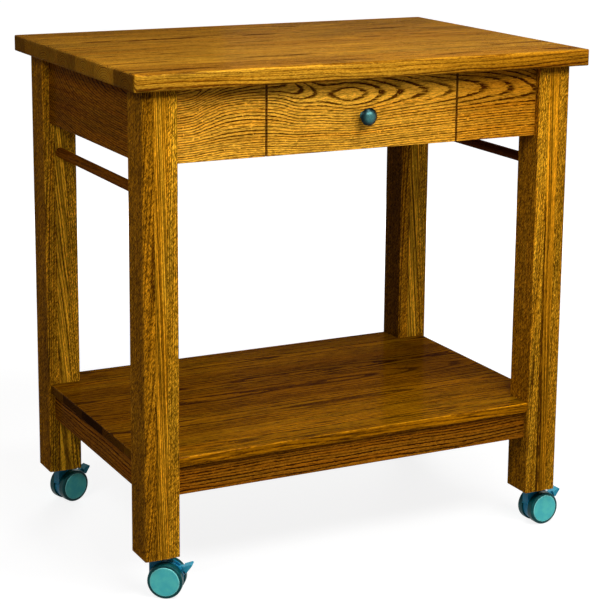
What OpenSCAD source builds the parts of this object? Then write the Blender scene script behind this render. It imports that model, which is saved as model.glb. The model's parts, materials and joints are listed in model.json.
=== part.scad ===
// Kitchen trolley in solid oak: thick work top, four square legs, a full-height
// apron with one drawer cut from its front board, two towel bars, a low shelf
// and four swivelling twin-wheel casters with foot brakes.
// Frame: X to the right, Y to the back, Z up; origin on the floor, below the
// middle of the work top. Millimetres.

/* [Frame] */
// Side of the square legs
leg_w = 66; // [50:1:90]
// Width over the legs, left to right
frame_w = 858; // [760:2:1100]
// Depth over the legs, front to back
frame_d = 572; // [520:2:760]
// Length of a leg, from the caster's flange to the work top
leg_len = 834; // [700:1:950]
// Rounding of the long edges of the legs
leg_edge_r = 3; // [1:0.5:6]

/* [Work top] */
// Thickness of the work top
top_t = 31; // [24:1:45]
// How far the work top overhangs the legs at the left and right
top_over_side = 24; // [8:1:60]
// How far the work top overhangs the legs at the front and back
top_over_front = 29; // [8:1:60]
// Rounding of the work top's edges
top_edge_r = 5; // [2:0.5:8]
// Rounding of the work top's upright corners
top_corner_r = 7; // [4:0.5:14]

/* [Aprons and rails] */
// Height of the aprons below the work top
apron_h = 131; // [122:1:180]
// Thickness of the aprons and shelf rails
board_t = 20; // [18:0.5:26]
// Set-back of the aprons from the outer faces of the legs
apron_inset = 13; // [5:0.5:16]
// Rounding of the boards' long edges
board_edge_r = 1.5; // [0.5:0.5:3]
// Length of the tenons in the legs
tenon_l = 24; // [12:1:26]
// Thickness of the tenons
tenon_t = 9; // [6:0.5:12]
// Height left off each tenon, above and below
tenon_shoulder = 10; // [6:1:16]
// Thickness of the flat rails above and below the drawer opening
web_t = 18; // [14:1:20]
// Depth of those flat rails, front to back
web_d = 46; // [40:1:80]
// Set-up of the lower flat rail from the apron's bottom edge
web_up = 4; // [1:1:8]

/* [Work top fixings] */
// Width of a wooden button along its apron
button_w = 34; // [24:1:50]
// Reach of a button from its apron
button_reach = 30; // [22:1:45]
// Thickness of a button's tongue
tongue_t = 6; // [4:0.5:8]
// Depth of the apron's groove that the tongues hook into
groove_d = 8; // [5:0.5:10]
// Drop of the groove below the work top
groove_drop = 9; // [6:0.5:10]
// Distance between the buttons on a side apron
button_pitch_side = 240; // [120:5:300]
// Distance between the buttons on the back apron
button_pitch_back = 270; // [150:5:320]
// Distance between the inner screws of the upper flat rail
web_screw_inner = 200; // [120:5:300]
// Distance between the outer screws of the upper flat rail
web_screw_outer = 600; // [480:5:640]
// Diameter of the work top screws
top_screw_d = 4; // [3:0.5:5]
// Diameter of their heads
top_screw_head_d = 8; // [7:0.5:10]
// Thickness of their heads
top_screw_head_t = 2.6; // [2:0.2:3]
// Depth of the screws in the work top
top_screw_bite = 16; // [10:1:20]

/* [Towel bars] */
// Diameter of the towel bars
bar_d = 19; // [14:0.5:25]
// Drop of a bar's centre below the aprons
bar_drop = 58; // [40:1:120]
// Depth of a bar's end in the leg
bar_sink = 20; // [10:1:28]

/* [Shelf] */
// Height of the shelf's upper face above the foot of the legs
shelf_h = 182; // [120:1:320]
// Thickness of the shelf board
shelf_t = 19; // [15:0.5:26]
// Set-back of the shelf's edges from the outer faces of the legs
shelf_inset = 5; // [4:0.5:12]
// Rounding of the shelf's edges
shelf_edge_r = 3; // [1:0.5:5]
// Height of the rails under the shelf
shelf_rail_h = 53; // [40:1:80]

/* [Drawer] */
// Width of the drawer front
drawer_w = 381; // [300:1:460]
// Saw cut between the drawer front and the fixed boards beside it
kerf = 3; // [1.5:0.5:5]
// Gap between the drawer front and the work top
front_top_gap = 2; // [1:0.5:4]
// Height of the drawer box
box_h = 78; // [62:1:80]
// Gap between the drawer box and the lower flat rail
box_lift = 4; // [2:0.5:6]
// Thickness of the drawer box's boards
box_t = 12; // [10:0.5:16]
// Length of the drawer box, front to back
box_len = 430; // [405:1:440]
// Thickness of the drawer bottom
panel_t = 6; // [4:0.5:9]
// Height of the drawer bottom above the lower edge of the box
panel_rise = 9; // [6:0.5:14]
// Depth of the groove that holds the drawer bottom
panel_groove = 6; // [4:0.5:7]
// Thickness of the boards that carry the slides
guide_t = 19; // [15:0.5:25]

/* [Drawer slides] */
// Length of a slide when closed
slide_l = 400; // [300:5:402]
// Height of a slide
slide_h = 45; // [40:1:54]
// Thickness of a slide, from guide to drawer box
slide_t = 12.7; // [11:0.1:14]
// Thickness of the slides' sheet steel
sheet_t = 1.2; // [0.8:0.1:1.6]
// Height of the ball race between two members
race_h = 3; // [2:0.2:3.6]

/* [Knob] */
// Diameter of the knob
knob_d = 32; // [24:0.5:38]
// Drop of the knob below the middle of the drawer front
knob_drop = 4; // [0:1:20]
// Projection of the knob from the drawer front
knob_out = 27; // [22:0.5:34]
// Diameter of the knob's foot
knob_foot_d = 17; // [13:0.5:22]
// Diameter of the knob's neck
knob_neck_d = 11; // [9:0.5:14]
// Height of the knob's rounded head
knob_head_h = 13; // [10:0.5:15]
// Diameter of the knob's screw
knob_screw_d = 4; // [3:0.5:5]
// Depth of the screw in the knob
knob_screw_bite = 12; // [8:0.5:16]

/* [Casters] */
// Height of a caster, from the floor to the foot of the leg
caster_h = 76; // [74:0.5:88]
// Diameter of the wheels
wheel_d = 64; // [52:1:66]
// Width of one wheel
wheel_w = 15; // [11:0.5:18]
// Thickness of the housing between the wheels
hood_t = 16.4; // [14:0.2:20]
// Distance from the swivel's axis back to the axle
trail = 20; // [16:0.5:24]
// Diameter of the stem in the leg
stem_d = 10; // [8:0.5:12]
// Length of the stem in the leg
stem_l = 38; // [25:1:50]
// Diameter of the stem's journal in the housing
journal_d = 8; // [6:0.5:9]
// Diameter of the stem's flange
flange_d = 24; // [18:0.5:30]
// Thickness of the stem's flange
flange_t = 2.5; // [1.5:0.5:4]
// Diameter of the axle
axle_d = 6; // [4:0.5:8]
// Width of the brake's pedal
pedal_w = 19; // [14:0.5:24]
// Angle of the front left caster
yaw_front_left = -35; // [-180:1:180]
// Angle of the front right caster
yaw_front_right = 4; // [-180:1:180]
// Angle of the back left caster
yaw_back_left = 18; // [-180:1:180]
// Angle of the back right caster
yaw_back_right = 26; // [-180:1:180]

/* [Fits] */
// Clearance round glued and screwed joints
fit = 0.1; // [0.05:0.05:0.3]
// Radial clearance of a shaft that turns in a hole
run_fit = 0.05; // [0.02:0.01:0.09]
// Air between surfaces that pass each other
air = 0.3; // [0.2:0.1:0.6]

/* [Hidden] */
$fn = 96;
// Overlap of shapes that are joined
eps = 0.01;
// How far a cut runs past the surface it opens
over = 1;
oak = "#b9822f";
oak_dark = "#7d4d1b";
maple = "#d8b98a";
steel = "#b9bdc0";
knob_metal = "#3c4c50";
tyre_teal = "#12393e";
hood_teal = "#2a6f8a";

// Heights above the floor
foot_z = caster_h;
top_z = foot_z + leg_len;
apron_z = top_z - apron_h;
bar_z = apron_z - bar_drop;
shelf_z = foot_z + shelf_h;
shelf_rail_z = shelf_z - shelf_t - shelf_rail_h;
web_low_z = apron_z + web_up;
web_high_z = top_z - web_t;
box_z = web_low_z + web_t + box_lift;
slide_z = box_z + box_h / 2;

// Places of the frame
leg_x = frame_w / 2 - leg_w / 2;
leg_y = frame_d / 2 - leg_w / 2;
bay_w = frame_w - 2 * leg_w;
bay_d = frame_d - 2 * leg_w;
side_x = frame_w / 2 - apron_inset - board_t / 2;
front_y = frame_d / 2 - apron_inset - board_t / 2;
inner_y = frame_d / 2 - apron_inset - board_t;
top_w = frame_w + 2 * top_over_side;
top_d = frame_d + 2 * top_over_front;

// The drawer and its opening
opening_w = drawer_w + 2 * kerf;
box_w = opening_w - 2 * slide_t;
front_h = apron_h - front_top_gap;
front_z = apron_z + front_h / 2;
knob_z = front_z - knob_drop;
groove_z = top_z - groove_drop - tongue_t / 2;
slide_set_back = 2;
slide_y = -inner_y + slide_set_back + slide_l / 2;
box_y = -inner_y + box_len / 2;
// The slide's middle and inner members, each nested in the one before
middle_h = slide_h - 2 * (sheet_t + air);
inner_h = middle_h - 2 * (race_h + air);
// Where a button's screw stands along its reach
button_screw_share = 0.6;

// The knob's dome, rounded rim, foot and waist
knob_dome_h = knob_head_h * 0.6;
knob_rim_r = 1;
knob_foot_t = 2;
knob_waist_z = 5;
knob_screw_head_t = 2.4;

// The casters' wheels
wheel_r = wheel_d / 2;
wheel_gap = hood_t / 2 + air;
hub_bore_l = wheel_w * 0.7;
hub_wall = 4;
hollow_wall = 6;
// Rounding of the tread's outer shoulder and of its lip beside the housing
shoulder_r = 3;
lip_r = 1;
// Width of the tread round the disc, the disc's stand and its rounded edge
disc_step = 5.2;
disc_stand = 1;
disc_edge_r = 1.5;

// The casters' housing: its crown covers the wheels' rims from crown_z upwards
hood_r = wheel_r - 3;
crown_r = wheel_r + 1;
crown_z = wheel_r * 1.25;
hood_top = caster_h - flange_t - air;
boss_h = hood_top - wheel_d - air;
boss_d = flange_d - 2;
// Housing left between the axle and the journal, and air below the journal
journal_wall = 10;
journal_air = 1;
journal_end = wheel_r + axle_d / 2 + journal_wall;

// The brake: its pivot, its slot in the housing, and the outlines of its arm
// and pedal in the plane of the wheels, from the pivot
pivot_x = trail + wheel_r * 0.66;
pivot_z = wheel_r * 1.53;
pivot_d = 3;
arm_t = hood_t / 2;
slot_back = 6;
slot_down = 8;
arm_outline = [[-5, -3], [-5, 3], [0, 5.5], [13, 9], [15, 1], [6, -5], [-1, -6]];
pedal_outline = [[11, 3], [9.5, 8], [23.5, 13], [25.5, 11.5], [25, 9.5], [16, -2.5], [13.5, -2.5]];

// ---- Shapes that repeat ----

// A rectangle with rounded corners, centred
module round_rect(w, h, r) {
    square([w - 2 * r, h], center = true);
    square([w, h - 2 * r], center = true);
    for (x = [-1, 1], y = [-1, 1])
        translate([x * (w / 2 - r), y * (h / 2 - r)]) circle(r);
}

// A bar of rounded section along X: l long, d deep, h high
module bar_x(l, d, h, r) {
    rotate([90, 0, 90]) linear_extrude(l, center = true) round_rect(d, h, r);
}

// A bar of rounded section along Y: l long, w wide, h high
module bar_y(l, w, h, r) {
    rotate([90, 0, 0]) linear_extrude(l, center = true) round_rect(w, h, r);
}

// A flat panel with its edges rounded all round, centred
module panel(w, d, t, r) {
    intersection() {
        bar_x(w, d, t, r);
        bar_y(d, w, t, r);
    }
}

// One tenon at the end of a board along X, of clearance c
module tenon(l, h, c) {
    translate([l / 2 - eps, -tenon_t / 2 - c, -h / 2 + tenon_shoulder - c])
        cube([tenon_l + c + eps, tenon_t + 2 * c, h - 2 * tenon_shoulder + 2 * c]);
}

// A board along X with a tenon at each end that is asked for
module tenoned_board(l, h, right = true, left = true) {
    bar_x(l, board_t, h, board_edge_r);
    if (right) tenon(l, h, 0);
    if (left) mirror([1, 0, 0]) tenon(l, h, 0);
}

// The groove for the work top's buttons, along a board of length l
module button_groove(l) {
    translate([0, board_t / 2, groove_z])
        cube([l + 2 * over, 2 * groove_d, tongue_t + 2 * fit], center = true);
}

// Where the work top's buttons stand: x, y, angle of the reach
function button_places() = concat(
    [for (s = [-1, 1], p = [-0.5, 0.5])
        [s * (side_x - board_t / 2), p * button_pitch_side, s > 0 ? 180 : 0]],
    [for (p = [-1, 0, 1]) [p * button_pitch_back, inner_y, -90]]);

// Where the work top's screws stand
function screw_places() = concat(
    [for (b = button_places())
        let (d = button_reach * button_screw_share) [b[0] + cos(b[2]) * d, b[1] + sin(b[2]) * d]],
    [for (s = [-0.5, 0.5], w = [web_screw_inner, web_screw_outer])
        [s * w, -inner_y + web_d / 2]]);

module at_screws(z) {
    for (p = screw_places()) translate([p[0], p[1], z]) children();
}

// ---- Frame ----

module top() color(oak) difference() {
    translate([0, 0, top_z + top_t / 2]) intersection() {
        panel(top_w, top_d, top_t, top_edge_r);
        linear_extrude(top_t + 2 * over, center = true)
            round_rect(top_w, top_d, top_corner_r);
    }
    at_screws(top_z - eps) cylinder(h = top_screw_bite + fit, d = top_screw_d + 2 * fit);
}

// The back right leg; the others are its mirror images
module leg() color(oak) difference() {
    translate([leg_x, leg_y, foot_z]) linear_extrude(leg_len) round_rect(leg_w, leg_w, leg_edge_r);
    translate([0, front_y, apron_z + apron_h / 2]) tenon(bay_w, apron_h, fit);
    translate([side_x, 0, apron_z + apron_h / 2]) rotate([0, 0, 90]) tenon(bay_d, apron_h, fit);
    translate([0, front_y, shelf_rail_z + shelf_rail_h / 2]) tenon(bay_w, shelf_rail_h, fit);
    translate([side_x, 0, shelf_rail_z + shelf_rail_h / 2])
        rotate([0, 0, 90]) tenon(bay_d, shelf_rail_h, fit);
    translate([leg_x, bay_d / 2 - eps, bar_z])
        rotate([-90, 0, 0]) cylinder(h = bar_sink + fit, d = bar_d + 2 * fit);
    translate([leg_x, leg_y, foot_z - eps]) cylinder(h = stem_l + fit, d = stem_d + 2 * fit);
}

module leg_at(sx, sy) mirror([sx < 0 ? 1 : 0, 0, 0]) mirror([0, sy < 0 ? 1 : 0, 0]) leg();

// A fixed board beside the drawer front; side is 1 at the right
module apron_front(side) color(oak) {
    stub_w = bay_w / 2 - opening_w / 2;
    translate([side * (bay_w / 2 - stub_w / 2), -front_y, apron_z + apron_h / 2])
        tenoned_board(stub_w, apron_h, side > 0, side < 0);
}

module apron_back() color(oak) difference() {
    translate([0, front_y, apron_z + apron_h / 2]) tenoned_board(bay_w, apron_h);
    translate([0, front_y, 0]) mirror([0, 1, 0]) button_groove(bay_w);
}

module apron_side(side) color(oak_dark) translate([side * side_x, 0, 0]) difference() {
    translate([0, 0, apron_z + apron_h / 2]) rotate([0, 0, 90]) tenoned_board(bay_d, apron_h);
    rotate([0, 0, side * 90]) button_groove(bay_d);
}

module drawer_rail(z) {
    translate([-bay_w / 2, -inner_y, z]) cube([bay_w, web_d, web_t]);
}

module drawer_rail_upper() color(oak_dark) difference() {
    drawer_rail(web_high_z);
    at_screws(web_high_z - over) cylinder(h = web_t + 2 * over, d = top_screw_d + 2 * fit);
}

module drawer_rail_lower() color(oak_dark) drawer_rail(web_low_z);

// A board between the flat rails and the back apron that carries a slide
module drawer_guide(side) color(oak_dark) {
    z = web_low_z + web_t;
    translate([side * (opening_w / 2 + guide_t / 2), 0, (z + web_high_z) / 2])
        cube([guide_t, 2 * inner_y, web_high_z - z], center = true);
}

module top_buttons() color(oak_dark) difference() {
    for (b = button_places()) translate([b[0], b[1], 0]) rotate([0, 0, b[2]]) {
        translate([0, -button_w / 2, top_z - web_t]) cube([button_reach, button_w, web_t]);
        translate([-groove_d + fit, -button_w / 2, groove_z - tongue_t / 2])
            cube([groove_d, button_w, tongue_t]);
    }
    at_screws(top_z - web_t - over) cylinder(h = web_t + 2 * over, d = top_screw_d + 2 * fit);
}

module top_screws() color(steel) at_screws(top_z - web_t - top_screw_head_t) {
    cylinder(h = top_screw_head_t, d = top_screw_head_d);
    cylinder(h = top_screw_head_t + web_t + top_screw_bite, d = top_screw_d);
}

module towel_bar(side) color(oak_dark) translate([side * leg_x, 0, bar_z])
    rotate([90, 0, 0]) cylinder(h = bay_d + 2 * bar_sink, d = bar_d, center = true);

module shelf() color(oak_dark) difference() {
    translate([0, 0, shelf_z - shelf_t / 2])
        panel(frame_w - 2 * shelf_inset, frame_d - 2 * shelf_inset, shelf_t, shelf_edge_r);
    for (x = [-1, 1], y = [-1, 1])
        translate([x * leg_x, y * leg_y, shelf_z])
            cube([leg_w + 2 * fit, leg_w + 2 * fit, 3 * shelf_t], center = true);
}

module shelf_rail_x(side) color(oak_dark)
    translate([0, side * front_y, shelf_rail_z + shelf_rail_h / 2]) tenoned_board(bay_w, shelf_rail_h);

module shelf_rail_y(side) color(oak_dark)
    translate([side * side_x, 0, shelf_rail_z + shelf_rail_h / 2])
        rotate([0, 0, 90]) tenoned_board(bay_d, shelf_rail_h);

// ---- Drawer slides: each member is a channel nested in the one before ----

// A channel along Y: its web stands at x, and its flanges reach to x + reach
module channel(x, reach, h, flange) {
    translate([x, -slide_l / 2, -h / 2]) cube([sheet_t, slide_l, h]);
    for (z = [-h / 2, h / 2 - flange])
        translate([min(x, x + reach), -slide_l / 2, z]) cube([abs(reach), slide_l, flange]);
}

// Places a member in the left slide, or its mirror image in the right one
module in_slide(side) {
    mirror([side > 0 ? 1 : 0, 0, 0]) translate([-opening_w / 2, slide_y, slide_z]) children();
}

module slide_cabinet(side) color(steel)
    in_slide(side) channel(0, slide_t - sheet_t - 2 * air, slide_h, sheet_t);

module slide_middle(side) color(steel)
    in_slide(side) channel(sheet_t + air, slide_t - 3 * sheet_t, middle_h, race_h);

module slide_drawer(side) color(steel)
    in_slide(side) channel(slide_t - sheet_t, -(slide_t - 3 * sheet_t - 2 * air), inner_h, sheet_t);

// ---- Drawer ----

// The bottom panel, with clearance c round it; the boards' groove is the same shape
module bottom_panel(c) {
    side = box_w - 2 * box_t + 2 * panel_groove;
    depth = box_len - 2 * box_t + 2 * panel_groove;
    translate([0, box_y, box_z + panel_rise + panel_t / 2])
        cube([side + 2 * c, depth + 2 * c, panel_t + 2 * c], center = true);
}

module knob_screw_hole() {
    translate([0, -inner_y - board_t - over, knob_z])
        rotate([-90, 0, 0]) cylinder(h = board_t + box_t + 2 * over, d = knob_screw_d + 2 * fit);
}

module drawer_front() color(oak) difference() {
    translate([0, -front_y, front_z]) bar_x(drawer_w, board_t, front_h, board_edge_r);
    knob_screw_hole();
}

// A board across the drawer box; side is -1 at the front
module box_across(side) {
    translate([0, box_y + side * (box_len / 2 - box_t / 2), box_z + box_h / 2])
        cube([box_w - 2 * box_t, box_t, box_h], center = true);
}

module drawer_box_front() color(maple) difference() {
    box_across(-1);
    bottom_panel(fit);
    knob_screw_hole();
}

module drawer_box_back() color(maple) difference() {
    box_across(1);
    bottom_panel(fit);
}

module drawer_side(side) color(maple) difference() {
    translate([side * (box_w / 2 - box_t / 2), box_y, box_z + box_h / 2])
        cube([box_t, box_len, box_h], center = true);
    bottom_panel(fit);
}

module drawer_bottom() color(maple) bottom_panel(0);

// The knob: a foot, a waisted neck and a domed head, turned about Y
module knob() color(knob_metal) translate([0, -inner_y - board_t, knob_z]) rotate([90, 0, 0])
    difference() {
        rotate_extrude() knob_outline();
        translate([0, 0, -eps]) cylinder(h = knob_screw_bite + fit, d = knob_screw_d + 2 * fit);
    }

module knob_outline() {
    head_z = knob_out - knob_head_h;
    rim_z = knob_out - knob_dome_h;
    rim_x = knob_d / 2 - knob_rim_r;
    dome_r = (knob_d * knob_d / 4 + knob_dome_h * knob_dome_h) / (2 * knob_dome_h);
    square([knob_foot_d / 2, knob_foot_t]);
    square([knob_neck_d / 2, rim_z]);
    polygon([[0, knob_foot_t], [knob_foot_d / 2, knob_foot_t],
        [knob_neck_d / 2, knob_waist_z], [0, knob_waist_z]]);
    polygon([[0, head_z], [knob_neck_d / 2, head_z],
        [rim_x, rim_z - 2 * knob_rim_r], [0, rim_z - 2 * knob_rim_r]]);
    translate([0, rim_z - 2 * knob_rim_r]) square([rim_x, 2 * knob_rim_r]);
    translate([rim_x, rim_z - knob_rim_r]) circle(knob_rim_r);
    intersection() {
        translate([0, knob_out - dome_r]) circle(dome_r);
        translate([0, rim_z]) square([knob_d / 2, knob_head_h]);
    }
}

module knob_screw() color(steel) {
    shank = board_t + box_t + knob_screw_bite;
    translate([0, -inner_y - board_t - knob_screw_bite, knob_z]) rotate([-90, 0, 0]) {
        cylinder(h = shank, d = knob_screw_d);
        translate([0, 0, shank]) cylinder(h = knob_screw_head_t, d = 2 * knob_screw_d);
    }
}

// ---- Casters: X is the trailing side, and the swivel's axis is at the origin ----

module at_caster(sx, sy, yaw) translate([sx * leg_x, sy * leg_y, 0]) rotate([0, 0, yaw]) children();

module caster_stem() {
    journal_low = journal_end + journal_air;
    flange_low = caster_h - flange_t;
    translate([0, 0, flange_low]) cylinder(h = flange_t, d = flange_d);
    translate([0, 0, journal_low]) cylinder(h = flange_low - journal_low + eps, d = journal_d);
    translate([0, 0, caster_h - eps]) cylinder(h = stem_l, d = stem_d);
}

module caster_stems() color(steel) for (sx = [-1, 1], sy = [-1, 1])
    at_caster(sx, sy, 0) caster_stem();

// A cylinder across the caster, about a line parallel to the axle
module across(x, z, l, d) {
    translate([x, 0, z]) rotate([90, 0, 0]) cylinder(h = l, d = d, center = true);
}

// The housing's outline in the plane of the wheels
module hood_outline() {
    translate([trail, wheel_r]) circle(hood_r);
    intersection() {
        translate([trail, wheel_r]) circle(crown_r);
        translate([-wheel_d, crown_z]) square([3 * wheel_d, wheel_d]);
    }
    translate([-boss_d / 2, crown_z]) square([boss_d / 2 + trail, hood_top - crown_z - boss_h]);
    translate([-boss_d / 2, crown_z]) square([boss_d, hood_top - crown_z]);
}

module hood() color(hood_teal) difference() {
    union() {
        rotate([90, 0, 0]) linear_extrude(hood_t, center = true) hood_outline();
        translate([0, 0, hood_top - boss_h]) cylinder(h = boss_h, d = boss_d);
    }
    translate([0, 0, journal_end]) cylinder(h = hood_top, d = journal_d + 2 * run_fit);
    across(trail, wheel_r, hood_t + 2 * over, axle_d + 2 * run_fit);
    across(pivot_x, pivot_z, hood_t + 2 * over, pivot_d + 2 * run_fit);
    translate([pivot_x - slot_back, -arm_t / 2 - air, pivot_z - slot_down])
        cube([wheel_d, arm_t + 2 * air, wheel_d]);
}

module axle() color(steel) across(trail, wheel_r, 2 * (wheel_gap + hub_bore_l - 2 * air), axle_d);

// The brake: an arm on its pivot pin in the housing's slot, and the pedal outside
module brake() color(hood_teal) {
    across(pivot_x, pivot_z, hood_t, pivot_d);
    translate([pivot_x, 0, pivot_z]) rotate([90, 0, 0]) {
        linear_extrude(arm_t, center = true) polygon(arm_outline);
        linear_extrude(pedal_w, center = true) polygon(pedal_outline);
    }
}

// One wheel with its moulded tread; side is -1 for the outer wheel
module wheel(side) color(tyre_teal) translate([trail, side * wheel_gap, wheel_r])
    rotate([side > 0 ? -90 : 90, 0, 0]) difference() {
        rotate_extrude() wheel_outline();
        translate([0, 0, -over]) cylinder(h = hub_bore_l + over, d = axle_d + 2 * run_fit);
        translate([0, 0, -over]) difference() {
            cylinder(h = wheel_w / 2 + over, r = wheel_r - hollow_wall);
            translate([0, 0, -over]) cylinder(h = wheel_w + 2 * over, r = axle_d / 2 + hub_wall);
        }
    }

module wheel_outline() {
    disc_x = wheel_r - disc_step - disc_edge_r;
    tread_w = wheel_w - disc_stand;
    square([wheel_r - shoulder_r, tread_w]);
    square([wheel_r - lip_r, 2 * lip_r]);
    translate([0, lip_r]) square([wheel_r, tread_w - shoulder_r - lip_r]);
    translate([wheel_r - lip_r, lip_r]) circle(lip_r);
    translate([wheel_r - shoulder_r, tread_w - shoulder_r]) circle(shoulder_r);
    square([disc_x, wheel_w]);
    translate([disc_x, wheel_w - disc_edge_r]) circle(disc_edge_r);
}

// ---- The object ----

top();
leg_at(-1, -1);  // leg_front_left
leg_at(1, -1);  // leg_front_right
leg_at(-1, 1);  // leg_back_left
leg_at(1, 1);  // leg_back_right
apron_front(-1);  // apron_front_left
apron_front(1);  // apron_front_right
apron_back();
apron_side(-1);  // apron_left
apron_side(1);  // apron_right
drawer_rail_upper();
drawer_rail_lower();
drawer_guide(-1);  // drawer_guide_left
drawer_guide(1);  // drawer_guide_right
top_buttons();
top_screws();
towel_bar(-1);  // towel_bar_left
towel_bar(1);  // towel_bar_right
shelf();
shelf_rail_x(-1);  // shelf_rail_front
shelf_rail_x(1);  // shelf_rail_back
shelf_rail_y(-1);  // shelf_rail_left
shelf_rail_y(1);  // shelf_rail_right
slide_cabinet(-1);  // slide_cabinet_left
slide_cabinet(1);  // slide_cabinet_right
slide_middle(-1);  // slide_middle_left
slide_middle(1);  // slide_middle_right
slide_drawer(-1);  // slide_drawer_left
slide_drawer(1);  // slide_drawer_right
drawer_front();
drawer_box_front();
drawer_box_back();
drawer_side(-1);  // drawer_side_left
drawer_side(1);  // drawer_side_right
drawer_bottom();
knob();
knob_screw();
caster_stems();
at_caster(-1, -1, yaw_front_left) hood();  // hood_front_left
at_caster(1, -1, yaw_front_right) hood();  // hood_front_right
at_caster(-1, 1, yaw_back_left) hood();  // hood_back_left
at_caster(1, 1, yaw_back_right) hood();  // hood_back_right
at_caster(-1, -1, yaw_front_left) axle();  // axle_front_left
at_caster(1, -1, yaw_front_right) axle();  // axle_front_right
at_caster(-1, 1, yaw_back_left) axle();  // axle_back_left
at_caster(1, 1, yaw_back_right) axle();  // axle_back_right
at_caster(-1, -1, yaw_front_left) brake();  // brake_front_left
at_caster(1, -1, yaw_front_right) brake();  // brake_front_right
at_caster(-1, 1, yaw_back_left) brake();  // brake_back_left
at_caster(1, 1, yaw_back_right) brake();  // brake_back_right
at_caster(-1, -1, yaw_front_left) wheel(-1);  // wheel_outer_front_left
at_caster(1, -1, yaw_front_right) wheel(-1);  // wheel_outer_front_right
at_caster(-1, 1, yaw_back_left) wheel(-1);  // wheel_outer_back_left
at_caster(1, 1, yaw_back_right) wheel(-1);  // wheel_outer_back_right
at_caster(-1, -1, yaw_front_left) wheel(1);  // wheel_inner_front_left
at_caster(1, -1, yaw_front_right) wheel(1);  // wheel_inner_front_right
at_caster(-1, 1, yaw_back_left) wheel(1);  // wheel_inner_back_left
at_caster(1, 1, yaw_back_right) wheel(1);  // wheel_inner_back_right
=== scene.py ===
"""The looks of an oak kitchen trolley: stained solid oak, zinc-plated drawer slides, a dark metal knob
and blue-green twin-wheel casters, in a plain white studio.

Every length is in metres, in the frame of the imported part: X to the right, Y to the back, Z up, with the
origin on the floor below the middle of the work top.
"""

import json
import logging
import math
from dataclasses import dataclass, field
from enum import Enum

import bpy
from mathutils import Matrix, Vector

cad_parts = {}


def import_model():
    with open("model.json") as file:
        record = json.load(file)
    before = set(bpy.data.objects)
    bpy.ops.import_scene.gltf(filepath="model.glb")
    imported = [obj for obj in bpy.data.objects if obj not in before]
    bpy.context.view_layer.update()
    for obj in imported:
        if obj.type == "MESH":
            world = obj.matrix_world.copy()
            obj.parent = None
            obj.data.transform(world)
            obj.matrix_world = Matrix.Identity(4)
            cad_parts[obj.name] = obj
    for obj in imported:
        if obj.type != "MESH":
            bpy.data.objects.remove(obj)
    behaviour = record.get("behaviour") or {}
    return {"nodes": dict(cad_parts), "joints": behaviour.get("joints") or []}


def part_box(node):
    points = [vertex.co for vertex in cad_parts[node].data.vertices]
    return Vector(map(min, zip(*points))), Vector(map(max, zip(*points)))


LOG = logging.getLogger("trolley")
CORNERS = ("front_left", "front_right", "back_left", "back_right")
Colour = tuple[float, float, float]
Triple = tuple[float, float, float]
Socket = bpy.types.NodeSocket
Value = Socket | float


def srgb(red: int, green: int, blue: int) -> Colour:
    """Turns a colour as a screen shows it, 0 to 255, into the linear colour that a shader takes.

    Args:
        red: The red part.
        green: The green part.
        blue: The blue part.

    Returns:
        The linear colour.
    """
    knee, slope, lift, power = 0.04045, 12.92, 0.055, 2.4
    parts = (value / 255 for value in (red, green, blue))
    return tuple(part / slope if part <= knee else ((part + lift) / (1 + lift)) ** power for part in parts)


@dataclass(frozen=True)
class Step:
    """A smooth step from one value to another.

    Attributes:
        start: Where the step begins.
        end: Where it ends.
        before: The result up to its start.
        after: The result from its end on.
    """

    start: float
    end: float
    before: float = 0.0
    after: float = 1.0


@dataclass(frozen=True)
class Lumps:
    """Noise that is drawn out along a board.

    Attributes:
        length: How long its lumps are along the board.
        width: How wide they are across and through it.
        detail: How many finer layers it has.
    """

    length: float
    width: float
    detail: float


@dataclass(frozen=True)
class Mottle:
    """Noise that is the same in every direction.

    Attributes:
        pace: How many lumps there are to the metre.
        detail: How many finer layers it has.
    """

    pace: float
    detail: float


class Grain(Enum):
    """The row axes that lie along, across and through a board."""

    LONG_FLAT = (0, 1, 2)
    LONG_UPRIGHT = (0, 2, 1)
    DEEP_FLAT = (1, 0, 2)
    DEEP_UPRIGHT = (1, 2, 0)
    STANDING = (2, 0, 1)


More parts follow.
